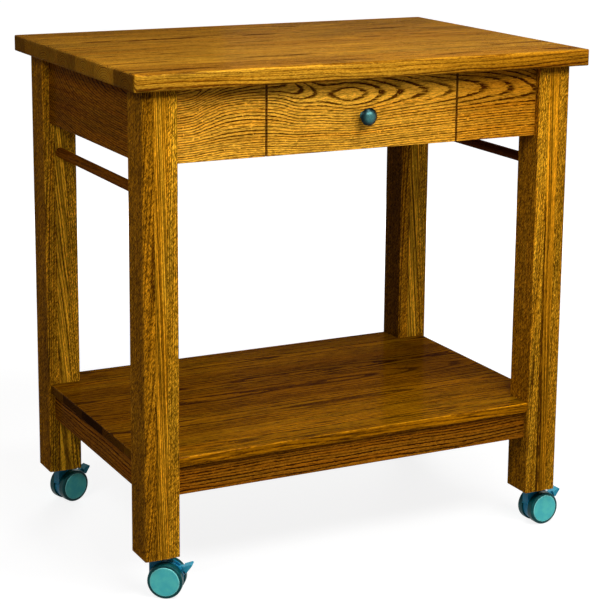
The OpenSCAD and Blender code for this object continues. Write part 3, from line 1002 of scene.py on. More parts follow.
# Painted shade: the shelf's colours are darkened to stand for the shade under the top; its strong pale rim
# is a painted highlight on its rounded edges.
SHELF_OAK_PAINTED_SHADE = TimberFinish("shelf_oak_painted_shade", srgb(146, 98, 5), srgb(66, 34, 2), srgb(42, 20, 2),
                         contrast=1.1, dashes=0.7, speckle=0.2, streaks=0.2, gloss=0.2, lustre=0.03,
                         coat=0.006, rim=0.9)
RAIL_OAK = TimberFinish("rail_oak", srgb(164, 102, 16), srgb(54, 24, 2), srgb(36, 16, 2),
                        contrast=1.1, streaks=0.2, lustre=0.05)
BACK_OAK = TimberFinish("back_oak", srgb(190, 132, 24), srgb(72, 36, 2), srgb(44, 20, 2),
                        contrast=1.1, streaks=0.2, lustre=0.05)
# Painted shade: the left apron's colours are darkened to stand for the shade on that side.
SIDE_OAK_PAINTED_SHADE = TimberFinish("side_oak_painted_shade", srgb(148, 92, 8), srgb(54, 24, 2), srgb(36, 16, 2),
                        contrast=1.1, streaks=0.2, lustre=0.05)
BAR_OAK = TimberFinish("bar_oak", srgb(130, 74, 8), srgb(72, 34, 2), srgb(50, 22, 2),
                       contrast=0.4, dashes=0.1, speckle=0.2, lustre=0.03)
MAPLE = TimberFinish("drawer_maple", srgb(226, 198, 150), srgb(204, 168, 116), srgb(176, 138, 92),
                     contrast=0.6, dashes=0.1, speckle=0.2, streaks=0.05, flecks=0.3, gloss=0.42,
                     lustre=0.0, coat=0.1)


def new_material(name: str) -> tuple[bpy.types.Material, Graph, bpy.types.Node]:
    """Starts a material.

    Args:
        name: Its name.

    Returns:
        The material, its graph and its Principled shader.
    """
    material = bpy.data.materials.new(name)
    material.use_nodes = True
    graph = Graph(material.node_tree)
    shader = next(node for node in material.node_tree.nodes if node.type == "BSDF_PRINCIPLED")
    return material, graph, shader


def paint(node: str, material: bpy.types.Material) -> None:
    """Puts a material on every slot of a CAD node, and reports the piece.

    Args:
        node: The node's name.
        material: Its new material.
    """
    for place in FRAME["nodes"][node].material_slots:
        place.material = material
    LOG.info("%s: %s", node, material.name)


@dataclass
class Figure:
    """What makes up a board's figure, while its material is put together.

    Attributes:
        place: The place along, across and through the board.
        heart_across: Where the heart of its trunk lies across the board.
        heart_through: Where it lies through the board.
        seed: What tells the figure from others.
        tone: How pale the board is.
        seam: The dark glue lines, and the painted shade along the ends at a gap.
        speckle: How much the specks show.
        streaks: How much the streaks of stain show.
        ripples: How much the ripples show.
    """

    place: Socket
    heart_across: Value
    heart_through: Value
    seed: Value
    tone: Value
    seam: Value
    speckle: Value
    streaks: Value
    ripples: Value


@dataclass(frozen=True)
class Timber:
    """Makes the material of each piece of timber.

    Attributes:
        effects: The node groups that all the timber shares.
        stave_lead: How far outside a glued piece its first board starts, so that no glue line falls on
            the piece's own face.
        worn_and_highlit_width: How far the wear and the painted edge highlight reach from an edge.
        facing: How squarely a face has to look along an axis to count as its end or edge.
        core_streaks: How much more the streaks show on a straight core.
        relief_strength: How much of the relief shows.
    """

    effects: WoodEffects = field(default_factory=WoodEffects)
    stave_lead: float = 0.0005
    worn_and_highlit_width: float = 0.003
    facing: Step = Step(0.4, 0.9)
    core_streaks: float = 2.5
    relief_strength: float = 0.6

    def dress(self, board: Board, finish: TimberFinish,
              heart_path: bpy.types.NodeTree | None = None) -> None:
        """Gives a CAD node its own timber material.

        Args:
            board: The piece and how it was cut.
            finish: Its colours and lacquer.
            heart_path: The node group of the path of its heart, where that shapes its figure.
        """
        material, g, shader = new_material(f"{finish.name}_{board.node}")
        coordinates = g.node("ShaderNodeTexCoord")
        place, normal = coordinates.outputs["Object"], g.split(coordinates.outputs["Normal"])
        end_axis, edge_axis, _ = board.grain.value
        parts = g.split(place)
        local = tuple(parts[axis] for axis in board.grain.value)
        low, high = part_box(board.node)
        end = g.ramp(g.math("ABSOLUTE", normal[end_axis]), self.facing)
        edge_face = g.ramp(g.math("ABSOLUTE", normal[edge_axis]), self.facing)
        figure = Figure(g.join(*local), *board.heart, board.seed, board.tone, 0.0, finish.speckle,
                        finish.streaks, finish.ripples)
        if board.stave:
            self.glue(g, board, figure, local, low[edge_axis])
        if heart_path:
            bent = g.group(heart_path, Along=local[0], Across=local[1], Heart_Across=figure.heart_across,
                           Heart_Through=figure.heart_through)
            figure.heart_across, figure.heart_through = bent["Heart Across"], bent["Heart Through"]
        warm = g.ramp(local[0], Step(board.warm_from, board.warm_to))
        if board.warm_edges_only:
            warm = g.math("MULTIPLY", warm, edge_face)
        # Painted light and shade: the faces that look across the board are made paler or darker.
        if board.painted_face_shading:
            figure.tone = g.math("ADD", figure.tone, g.scaled(edge_face, board.painted_face_shading))
        # Painted shade along the board's ends, where it meets the next board across a gap.
        if board.painted_gap_shade:
            gap = g.math("MINIMUM", g.scaled(local[0], 1.0, -low[end_axis]),
                         g.scaled(local[0], -1.0, high[end_axis]))
            line = g.ramp(gap, Step(board.painted_gap_shade / 2, board.painted_gap_shade, 1.0, 0.0))
            figure.seam = g.math("MULTIPLY", line, g.inverted(end))
        grain = g.group(self.effects.grain, Place=figure.place, Heart_Across=figure.heart_across,
                        Heart_Through=figure.heart_through, Seed=figure.seed, Ring=board.ring,
                        Flat=board.flat, Stray=board.stray, Bunch=board.bunch, Waves=board.waves,
                        Dash_Length=board.dash_length, Dash_Width=board.dash_width,
                        Dash_Depth=board.dash_depth)
        edge = g.group(self.effects.edges, Place=place, Low=tuple(low), High=tuple(high),
                       Width=self.worn_and_highlit_width)["Edge"]
        stain = g.group(self.effects.stain, Tone=figure.tone, Warm=warm, End=end, Edge=edge, Rim=finish.rim,
                        Seam=figure.seam, Late_Wood=finish.late_wood, Early_Wood=finish.early_wood,
                        Pores=finish.pores, Contrast=finish.contrast, Dashes=finish.dashes,
                        Speckle=figure.speckle, Streaks=figure.streaks, Ripples=figure.ripples,
                        Flecks=finish.flecks, Gloss=finish.gloss, **grain)
        self.lacquer(g, shader, finish, stain, edge)
        paint(board.node, material)

    def lacquer(self, g: Graph, shader: bpy.types.Node, finish: TimberFinish, stain: dict[str, Socket],
                edge: Socket) -> None:
        """Gives the stained wood its lacquer.

        Args:
            g: The material's graph.
            shader: Its Principled shader.
            finish: The wood's colours and lacquer.
            stain: The colour, roughness and height of the stained wood.
            edge: The worn edges.
        """
        g.feed(shader.inputs["Base Color"], stain["Color"])
        g.feed(shader.inputs["Roughness"], stain["Roughness"])
        g.feed(shader.inputs["Coat Weight"], g.scaled(edge, finish.edge_coat, finish.coat))
        shader.inputs["Metallic"].default_value = finish.lustre
        shader.inputs["Specular IOR Level"].default_value = 0.0
        shader.inputs["Specular Tint"].default_value = (*finish.lustre_tint, 1.0)
        shader.inputs["Coat Roughness"].default_value = finish.coat_roughness
        g.bump(shader, stain["Height"], self.relief_strength, finish.relief)

    def glue(self, g: Graph, board: Board, figure: Figure, local: tuple[Socket, ...], start: float) -> None:
        """Makes the figure that of boards or laths glued edge to edge.

        Args:
            g: The material's graph.
            board: The piece and how it was cut.
            figure: Its figure, which changes.
            local: The place along, across and through the board.
            start: Where the piece starts across the board.
        """
        along, across, through = local
        staves = g.group(self.effects.staves, Place=figure.place, Start=start - self.stave_lead,
                         Width=board.stave, Seed=board.seed)
        shift = g.math("MULTIPLY", g.scaled(staves["Lean"], board.lean), along)
        figure.place = g.join(along, g.math("ADD", across, shift), through)
        figure.heart_across = staves["Heart Across"]
        figure.heart_through = g.math("ADD", staves["Heart Through"], figure.heart_through)
        figure.seed = staves["Seed"]
        figure.tone = g.scaled(staves["Tone"], board.tone_spread, board.tone - board.tone_spread / 2)
        figure.seam = staves["Seam"]
        if board.straight_core:
            core = g.scaled(staves["Second"], board.straight_core)
            figure.speckle = g.scaled(core, -figure.speckle, figure.speckle)
            figure.streaks = g.scaled(core, self.core_streaks * figure.streaks, figure.streaks)
            figure.ripples = g.scaled(core, -figure.ripples, figure.ripples)


@dataclass(frozen=True)
class SteelFinish:
    """Bare or zinc-plated steel.

    Attributes:
        name: The material's name.
        bright: The colour of clean plating.
        dull: The colour of clouded plating.
        roughness: How rough it is on average.
        clouds: The clouds of the plating.
        cloud_step: How they go from bright to dull.
        rolling: How many rolling marks there are to the metre, along each axis.
        rolling_detail: How many finer layers they have.
        rolling_depth: How far they change the roughness, from one to the other.
    """

    name: str = "zinc_plated_steel"
    bright: Colour = srgb(196, 199, 200)
    dull: Colour = srgb(150, 154, 157)
    roughness: float = 0.32
    clouds: Mottle = Mottle(60.0, 3.0)
    cloud_step: Step = Step(0.3, 0.7)
    rolling: Triple = (900.0, 25.0, 900.0)
    rolling_detail: float = 2.0
    rolling_depth: float = 0.16

    def make(self) -> bpy.types.Material:
        """Makes the material.

        Returns:
            Metal with cloudy plating and faint rolling marks.
        """
        material, g, shader = new_material(self.name)
        place = g.node("ShaderNodeTexCoord").outputs["Object"]
        dulled = g.ramp(g.mottle(place, self.clouds), self.cloud_step)
        marks = g.noise(g.vector("MULTIPLY", place, self.rolling).outputs[0], self.rolling_detail)
        marks = g.scaled(marks, self.rolling_depth, -self.rolling_depth / 2)
        g.feed(shader.inputs["Base Color"], g.mix(dulled, self.bright, self.dull))
        g.feed(shader.inputs["Roughness"], g.math("ADD", self.roughness, marks))
        shader.inputs["Metallic"].default_value = 1.0
        return material


@dataclass(frozen=True)
class KnobFinish:
    """The knob's dark blue-green metal, brighter on the middle of its face, from wear and from a painted
    highlight.

    Attributes:
        name: The material's name.
        body: The colour of the dark metal.
        rubbed_highlight: The colour of the middle of the face, worn bright and painted as a highlight.
        worn_highlight_radius: Where that worn, painted highlight ends.
        worn_highlight_core: The share of that radius up to which it is full.
        clouds: The clouds of the metal.
        cloud_step: How they thin the worn, painted highlight.
        turning: How many turning marks there are to the metre, outwards and along the axis.
        turning_detail: How many finer layers they have.
        roughness: How rough the metal is on average.
        turning_depth: How far the turning marks change the roughness, from one to the other.
        cloud_depth: How far the clouds change it.
        metal: How metallic it is.
        reflection: How strongly its lacquer reflects.
        relief: How deep the turning marks are.
        relief_strength: How much of them shows.
    """

    name: str = "dark_knob_metal"
    body: Colour = srgb(2, 22, 24)
    rubbed_highlight: Colour = srgb(62, 108, 106)
    worn_highlight_radius: float = 0.0145
    worn_highlight_core: float = 0.3
    clouds: Mottle = Mottle(220.0, 3.0)
    cloud_step: Step = Step(0.2, 0.6, 0.75, 1.0)
    turning: tuple[float, float] = (2600.0, 900.0)
    turning_detail: float = 1.0
    roughness: float = 0.26
    turning_depth: float = 0.12
    cloud_depth: float = 0.14
    metal: float = 0.6
    reflection: float = 0.2
    relief: float = 0.00004
    relief_strength: float = 0.25

    def make(self, axis_z: float) -> bpy.types.Material:
        """Makes the material.

        Args:
            axis_z: Height of the knob's axis, which runs along Y at x = 0.

        Returns:
            Metal with fine turning rings and a face that is brighter in the middle, from wear and a painted
            highlight.
        """
        material, g, shader = new_material(self.name)
        place = g.node("ShaderNodeTexCoord").outputs["Object"]
        x, y, z = g.split(g.vector("SUBTRACT", place, (0.0, 0.0, axis_z)).outputs[0])
        radius = g.length(g.join(x, 0.0, z))
        outwards, along = self.turning
        rings = g.noise(g.join(g.scaled(radius, outwards), g.scaled(y, along), 0.0), self.turning_detail)
        cloud = g.mottle(place, self.clouds)
        # Painted highlight, partly wear: the middle of the face is made brighter, fading out towards the
        # rim.
        wear = Step(self.worn_highlight_core * self.worn_highlight_radius, self.worn_highlight_radius, 1.0, 0.0)
        rubbed_highlight = g.math("MULTIPLY", g.ramp(radius, wear), g.ramp(cloud, self.cloud_step))
        g.feed(shader.inputs["Base Color"], g.mix(rubbed_highlight, self.body, self.rubbed_highlight))
        rough = g.math("ADD", self.roughness, g.scaled(rings, self.turning_depth, -self.turning_depth / 2))
        rough = g.math("ADD", rough, g.scaled(cloud, self.cloud_depth, -self.cloud_depth / 2))
        g.feed(shader.inputs["Roughness"], rough)
        shader.inputs["Metallic"].default_value = self.metal
        shader.inputs["Specular IOR Level"].default_value = self.reflection
        g.bump(shader, rings, self.relief_strength, self.relief)
        return material


@dataclass(frozen=True)
class MouldedTexture:
    """The fine spark-eroded texture of moulded plastic.

    Attributes:
        clouds: The clouds of uneven gloss.
        cloud_depth: How far they change the roughness, from one to the other.
        grit: The texture of the mould.
    """

    clouds: Mottle = Mottle(70.0, 4.0)
    cloud_depth: float = 0.2
    grit: Mottle = Mottle(2400.0, 1.0)

    def build(self) -> bpy.types.NodeTree:
        """Builds the node group.

        Returns:
            The group. Gloss is how rough the plastic is on average. It puts out the clouds, the roughness
            and the height of the grit.
        """
        effect = Effect("Moulded Texture", {"Place": "Vector", "Gloss": "Float"},
                        floats("Cloud", "Roughness", "Height"))
        g, given = effect.graph, effect.given
        cloud = g.mottle(given["Place"], self.clouds)
        uneven = g.scaled(cloud, self.cloud_depth, -self.cloud_depth / 2)
        return effect.give(Cloud=cloud, Roughness=g.math("ADD", given["Gloss"], uneven),
                           Height=g.mottle(given["Place"], self.grit))


@dataclass(frozen=True)
class Plastic:
    """The moulded plastic that the parts of the casters share.

    Attributes:
        texture: The node group of its texture.
        relief: How deep the grit is.
        relief_strength: How much of it shows.
        reflection: How much the plastic reflects.
    """

    texture: bpy.types.NodeTree
    relief: float = 0.00005
    relief_strength: float = 0.3
    reflection: float = 0.12

    def add(self, g: Graph, shader: bpy.types.Node, place: Socket, gloss: float) -> Socket:
        """Gives a material the gloss and the grit of the plastic.

        Args:
            g: The material's graph.
            shader: Its Principled shader.
            place: The place on the object.
            gloss: How rough it is on average.

        Returns:
            The clouds, which colours can use.
        """
        moulded = g.group(self.texture, Place=place, Gloss=gloss)
        g.feed(shader.inputs["Roughness"], moulded["Roughness"])
        g.bump(shader, moulded["Height"], self.relief_strength, self.relief)
        shader.inputs["Specular IOR Level"].default_value = self.reflection
        return moulded["Cloud"]


@dataclass(frozen=True)
class MouldedFinish:
    """Plain moulded plastic.

    Attributes:
        name: The material's name.
        colour: Its colour.
        worn: Its colour where it is worn.
        gloss: How rough it is on average.
        wear: How the clouds wear it.
    """

    name: str
    colour: Colour
    worn: Colour
    gloss: float
    wear: Step = Step(0.35, 0.7)

    def make(self, plastic: Plastic) -> bpy.types.Material:
        """Makes the material.

        Args:
            plastic: What the casters are moulded from.

        Returns:
            Plastic with a fine texture and a cloudy colour.
        """
        material, g, shader = new_material(self.name)
        place = g.node("ShaderNodeTexCoord").outputs["Object"]
        worn = g.ramp(plastic.add(g, shader, place, self.gloss), self.wear)
        g.feed(shader.inputs["Base Color"], g.mix(worn, self.colour, self.worn))
        return material


@dataclass(frozen=True)
class WheelFinish:
    """A wheel in two shots: a pale blue-green disc in a dark tyre.

    Attributes:
        disc: The colour of the disc.
        disc_low: Its colour in the clouds.
        disc_clouds: How the clouds colour it.
        rim: The paler colour round the edge of the disc, a painted highlight on its rounded edge.
        rim_share: How much of that colour shows.
        rim_width: The width of the rim.
        rim_fade: How wide its inner edge is.
        tyre: The colour of the tyre.
        tyre_dusty: Its colour where it is dusty.
        dust: How the clouds put dust on it.
        disc_radius: The radius at which the disc meets the tyre.
        joint: How wide the joint between them is.
        gloss: How rough both are on average.
    """

    disc: Colour = srgb(106, 230, 224)
    disc_low: Colour = srgb(90, 216, 220)
    disc_clouds: Step = Step(0.35, 0.65)
    rim: Colour = srgb(160, 244, 238)
    rim_share: float = 0.55
    rim_width: float = 0.0012
    rim_fade: float = 0.0006
    tyre: Colour = srgb(6, 74, 76)
    tyre_dusty: Colour = srgb(24, 100, 100)
    dust: Step = Step(0.5, 0.8)
    disc_radius: float = 0.0268
    joint: float = 0.0002
    gloss: float = 0.36

    def make(self, plastic: Plastic, name: str, centre: Vector, axis: Vector) -> bpy.types.Material:
        """Makes the material of one pair of wheels.

        Args:
            plastic: What the casters are moulded from.
            name: The material's name.
            centre: A point on their axle.
            axis: The direction of that axle.

        Returns:
            The material.
        """
        material, g, shader = new_material(name)
        place = g.node("ShaderNodeTexCoord").outputs["Object"]
        arm = g.vector("SUBTRACT", place, tuple(centre)).outputs[0]
        side = g.vector("DOT_PRODUCT", arm, tuple(axis)).outputs["Value"]
        reach = g.length(arm)
        radius = g.math("SQRT", g.math("SUBTRACT", g.math("MULTIPLY", reach, reach),
                                       g.math("MULTIPLY", side, side), clamp=True))
        cloud = plastic.add(g, shader, place, self.gloss)
        # Painted highlight: a paler ring round the edge of the disc.
        rim_start = self.disc_radius - self.rim_width
        rim = g.ramp(radius, Step(rim_start - self.rim_fade, rim_start))
        disc = g.mix(g.ramp(cloud, self.disc_clouds), self.disc, self.disc_low)
        disc = g.mix(g.math("MULTIPLY", rim, self.rim_share), disc, self.rim)
        tyre = g.mix(g.ramp(cloud, self.dust), self.tyre, self.tyre_dusty)
        outer = g.ramp(radius, Step(self.disc_radius, self.disc_radius + self.joint))
        g.feed(shader.inputs["Base Color"], g.mix(outer, disc, tyre))
        return material


@dataclass
class WorkTop:
    """The thick top of boards glued edge to edge, with its buttons and screws.

    Attributes:
        top: How the slab was cut and glued.
        buttons: How the buttons were cut.
    """

    # The top's front and back faces are painted paler than its upper face, as if lit more strongly.
    top: Board = Board("top", Grain.LONG_FLAT, heart=(0.0, 0.927), ring=0.0042, seed=50.5, stave=0.094,
                       painted_face_shading=0.5, dash_length=0.09, dash_width=0.007, dash_depth=0.0022,
                       warm_from=-0.1, warm_to=0.3, warm_edges_only=True)
    buttons: Board = Board("top_buttons", Grain.DEEP_FLAT, heart=(0.03, 0.8), seed=5.2, tone=0.6)

    def dress(self, timber: Timber, steel: bpy.types.Material) -> None:
        """Gives the top, its buttons and its screws their materials.

        Args:
            timber: What makes the timber's materials.
            steel: The plated steel.
        """
        timber.dress(self.top, TOP_OAK)
        timber.dress(self.buttons, RAIL_OAK)
        paint("top_screws", steel)


@dataclass
class Carcase:
    """The four legs, the aprons and the rails that join them.

    Attributes:
        front_face: Where the face of the front boards lies, along Y.
        front_height: The height about which the heart of the front boards runs.
        front_ring: The width of their rings.
        front_dash: The length of their dashes.
        front_dash_width: The width of their dashes.
        front_seed: The seed of all three, which were cut from one board.
        front_gap_shade: The width of the painted shade along the ends of each, at the gaps between them.
        front_heart: The path of their heart.
        side_face: Where the face of the left apron lies, along X.
        side_height: The height about which its heart runs.
        side_heart: The path of its heart.
        lath: The width of the laths that a leg is glued from.
        leg_ring: The width of a leg's rings.
        rail_ring: The width of the rings of rails and guides.
        rail_stray: How far the hearts of the shelf rails stray.
        apron_ring: The width of the rings of the back and right aprons.
        apron_stray: How far their hearts stray.
        bar_ring: The width of the rings of the towel bars.
    """

    front_face: float = -0.273
    front_height: float = 0.883
    front_ring: float = 0.0046
    front_dash: float = 0.014
    front_dash_width: float = 0.0017
    front_seed: float = 4.1
    front_gap_shade: float = 0.0013
    front_heart: HeartPath = HeartPath(
        "Front Heart",
        Course(0.85, 0.93, (
            (-0.366, 0.8930), (-0.345, 0.8940), (-0.300, 0.9070), (-0.250, 0.9150), (-0.190, 0.9110),
            (-0.128, 0.8930), (-0.084, 0.8840), (-0.031, 0.8795), (0.070, 0.8795), (0.170, 0.8750),
            (0.301, 0.8720), (0.366, 0.8610))),
        Course(0.0, 0.08, (
            (-0.366, 0.005), (-0.345, 0.002), (-0.300, 0.009), (-0.250, 0.016), (-0.190, 0.0245),
            (-0.128, 0.0322), (-0.102, 0.0368), (-0.084, 0.0385), (-0.057, 0.0368), (-0.031, 0.0350),
            (-0.003, 0.0368), (0.030, 0.0414), (0.070, 0.0460), (0.116, 0.0506), (0.170, 0.0552),
            (0.237, 0.0598), (0.301, 0.0644), (0.357, 0.0690), (0.366, 0.0700))),
        Step(0.80, 0.88, 0.3, 1.0))
    side_face: float = -0.416
    side_height: float = 0.91
    side_heart: HeartPath = HeartPath(
        "Side Heart",
        Course(0.90, 0.92, ((-0.23, 0.905), (0.23, 0.915))),
        Course(0.0, 0.15, ((-0.23, 0.012), (-0.08, 0.040), (0.08, 0.082), (0.23, 0.140))))
    lath: float = 0.02234
    leg_ring: float = 0.0034
    rail_ring: float = 0.004
    rail_stray: float = 0.02
    apron_ring: float = 0.005
    apron_stray: float = 0.03
    bar_ring: float = 0.003

    def dress(self, timber: Timber) -> None:
        """Gives every board of the carcase its material.

        Args:
            timber: What makes the timber's materials.
        """
        self.dress_aprons(timber)
        self.dress_legs(timber)
        self.dress_rails(timber)

    def dress_aprons(self, timber: Timber) -> None:
        """Gives the drawer front and the aprons their materials.

        Args:
            timber: What makes the timber's materials.
        """
        front_path = self.front_heart.build()
        for node, tone in (("apron_front_left", 0.62), ("drawer_front", 0.88), ("apron_front_right", 0.68)):
            front = Board(node, Grain.LONG_UPRIGHT, heart=(self.front_height, self.front_face),
                          ring=self.front_ring, flat=1.2, stray=0.0, tone=tone, seed=self.front_seed,
                          bunch=0.0, waves=0.0035, dash_length=self.front_dash,
                          dash_width=self.front_dash_width, dash_depth=self.front_dash_width,
                          warm_from=-0.1, warm_to=0.38, painted_gap_shade=self.front_gap_shade)
            timber.dress(front, FRONT_OAK, front_path)
        left = Board("apron_left", Grain.DEEP_UPRIGHT, heart=(self.side_height, self.side_face),
                     ring=0.0052, flat=1.3, stray=0.0, bunch=0.2, waves=0.009, seed=13.1)
        timber.dress(left, SIDE_OAK_PAINTED_SHADE, self.side_heart.build())
        for node, grain, heart, seed in (("apron_right", Grain.DEEP_UPRIGHT, (0.86, 0.36), 14.6),
                                         ("apron_back", Grain.LONG_UPRIGHT, (0.84, 0.22), 15.2)):
            timber.dress(Board(node, grain, heart, ring=self.apron_ring, stray=self.apron_stray, seed=seed),
                         BACK_OAK)

    def dress_legs(self, timber: Timber) -> None:
        """Gives the legs, each glued from three laths, their materials.

        Args:
            timber: What makes the timber's materials.
        """
        # The fourth number paints shade on each leg's side faces: almost none on the front left leg, darker
        # on the others, darkest on the back right one.
        for node, heart_y, tone, painted_side_shade, seed in (("leg_front_left", -0.274, 0.26, 0.05, 20.5),
                                                     ("leg_front_right", -0.274, 0.16, -0.6, 46.5),
                                                     ("leg_back_left", 0.20, 0.95, -0.7, 40.5),
                                                     ("leg_back_right", 0.20, 0.6, -1.1, 50.5)):
            leg = Board(node, Grain.STANDING, heart=(0.0, heart_y), ring=self.leg_ring, stray=0.006,
                        tone=tone, tone_spread=1.3, painted_face_shading=painted_side_shade, stave=self.lath, lean=0.12,
                        waves=0.003, seed=seed, straight_core=0.6)
            timber.dress(leg, LEG_OAK)

    def dress_rails(self, timber: Timber) -> None:
        """Gives the rails, the drawer's guides and the towel bars their materials.

        Args:
            timber: What makes the timber's materials.
        """
        for node, grain, heart, seed in (("shelf_rail_front", Grain.LONG_UPRIGHT, (0.17, -0.23), 16.7),
                                         ("shelf_rail_back", Grain.LONG_UPRIGHT, (0.24, 0.22), 17.9),
                                         ("shelf_rail_left", Grain.DEEP_UPRIGHT, (0.25, -0.36), 18.4),
                                         ("shelf_rail_right", Grain.DEEP_UPRIGHT, (0.16, 0.36), 19.5)):
            timber.dress(Board(node, grain, heart, ring=self.rail_ring, stray=self.rail_stray, seed=seed),
                         RAIL_OAK)
        for node, grain, heart, seed in (("drawer_rail_upper", Grain.LONG_FLAT, (-0.2, 0.8), 20.6),
                                         ("drawer_rail_lower", Grain.LONG_FLAT, (-0.2, 0.7), 21.2),
                                         ("drawer_guide_left", Grain.DEEP_UPRIGHT, (0.76, -0.3), 22.8),
                                         ("drawer_guide_right", Grain.DEEP_UPRIGHT, (0.76, 0.3), 23.9)):
            timber.dress(Board(node, grain, heart, ring=self.rail_ring, seed=seed), RAIL_OAK)
        # The right towel bar's tone below zero is painted shade, darkening it for the shade it lies in.
        for node, heart_x, tone, seed in (("towel_bar_left", -0.34, 0.5, 24.3),
                                          ("towel_bar_right", 0.34, -0.2, 25.7)):
            timber.dress(Board(node, Grain.DEEP_UPRIGHT, heart=(0.66, heart_x), ring=self.bar_ring,
                               tone=tone, seed=seed), BAR_OAK)


@dataclass
class Shelf:
    """The low shelf of boards glued edge to edge.

    Attributes:
        board: How it was cut and glued.
    """

    # Painted light and shade: its finish is darkened for the shade under the top, and its front edge is made
    # paler again, as if lit.
    board: Board = Board("shelf", Grain.LONG_FLAT, heart=(0.0, 0.248), ring=0.0046, stray=0.02, tone=0.3,
                         seed=37.5, stave=0.108, dash_length=0.06, dash_width=0.0034, painted_face_shading=2.6,
                         warm_from=-9.0, warm_to=-8.0, warm_edges_only=True)

    def dress(self, timber: Timber) -> None:
        """Gives the shelf its material."""
        timber.dress(self.board, SHELF_OAK_PAINTED_SHADE)


@dataclass
class DrawerBox:
    """The drawer's maple box with its slides and knob.

    Attributes:
        knob_z: The height of the knob's axis.
        side_ring: The width of the rings of the box's walls.
        bottom_ring: The width of the rings of its bottom.
        knob: The knob's finish.
    """

    knob_z: float = 0.8395
    side_ring: float = 0.004
    bottom_ring: float = 0.006
    knob: KnobFinish = KnobFinish()

    def dress(self, timber: Timber, steel: bpy.types.Material) -> None:
        """Gives the box, its slides and its knob their materials.

        Args:
            timber: What makes the timber's materials.
            steel: The plated steel.
        """
        for node, grain, heart_through, seed in (("drawer_box_front", Grain.LONG_UPRIGHT, -0.2, 31.1),
                                                 ("drawer_box_back", Grain.LONG_UPRIGHT, 0.2, 32.4),
                                                 ("drawer_side_left", Grain.DEEP_UPRIGHT, -0.1, 33.7),
                                                 ("drawer_side_right", Grain.DEEP_UPRIGHT, 0.1, 34.2)):
            timber.dress(Board(node, grain, heart=(0.75, heart_through), ring=self.side_ring, seed=seed),
                         MAPLE)
        timber.dress(Board("drawer_bottom", Grain.LONG_FLAT, heart=(0.1, 0.78), ring=self.bottom_ring,
                           seed=35.9), MAPLE)
        for side in ("left", "right"):
            for member in ("slide_cabinet", "slide_middle", "slide_drawer"):
                paint(f"{member}_{side}", steel)
        paint("knob", self.knob.make(self.knob_z))
        paint("knob_screw", steel)


@dataclass
class Casters:
    """Four swivelling twin-wheel casters with foot brakes.

    Attributes:
        wheel: The finish of the wheels.
        housing: The finish of the housings.
        pedal: The finish of the brake pedals.
    """

    wheel: WheelFinish = WheelFinish()
    housing: MouldedFinish = MouldedFinish("caster_housing", srgb(28, 128, 168), srgb(44, 144, 176),
                                           gloss=0.34)
    pedal: MouldedFinish = MouldedFinish("caster_pedal", srgb(44, 158, 190), srgb(66, 176, 204),
                                         gloss=0.36)

    def dress(self, steel: bpy.types.Material) -> None:
        """Gives the stems, housings, axles, brakes and wheels their materials.

        Args:
            steel: The plated steel.
        """
        paint("caster_stems", steel)
        joints = {joint["name"]: joint for joint in FRAME["joints"]}
        plastic = Plastic(MouldedTexture().build())
        housing, pedal = self.housing.make(plastic), self.pedal.make(plastic)
        for corner in CORNERS:
            paint(f"hood_{corner}", housing)
            paint(f"brake_{corner}", pedal)
            paint(f"axle_{corner}", steel)
            spin = joints[f"spin_outer_{corner}"]
            wheels = self.wheel.make(plastic, f"caster_wheel_{corner}", Vector(spin["pos_m"]),
                                     Vector(spin["axis"]))
            for wheel in ("wheel_outer", "wheel_inner"):
                paint(f"{wheel}_{corner}", wheels)
            LOG.info("dressed the %s caster", corner)


@dataclass(frozen=True)
class Lamp:
    """A soft light that faces the middle of the trolley.

    Attributes:
        name: Its name.
        place: Where it stands.
        size: Its width and height.
        power: Its power in watts.
        mirrored: Whether polished surfaces show its reflection.
        target: The point that it faces.
    """

    name: str
    place: Triple
    size: tuple[float, float]
    power: float
    mirrored: bool = True
    target: Triple = (0.0, 0.0, 0.5)

    def add(self) -> None:
        """Adds the light to the scene."""
        data = bpy.data.lights.new(self.name, "AREA")
        data.shape = "RECTANGLE"
        data.size, data.size_y = self.size
        data.energy = self.power
        lamp = bpy.data.objects.new(self.name, data)
        lamp.location = self.place
        lamp.visible_camera = False
        lamp.visible_glossy = self.mirrored
        aim = Vector(self.target) - Vector(self.place)
        lamp.rotation_euler = aim.to_track_quat("-Z", "Y").to_euler()
        bpy.context.scene.collection.objects.link(lamp)


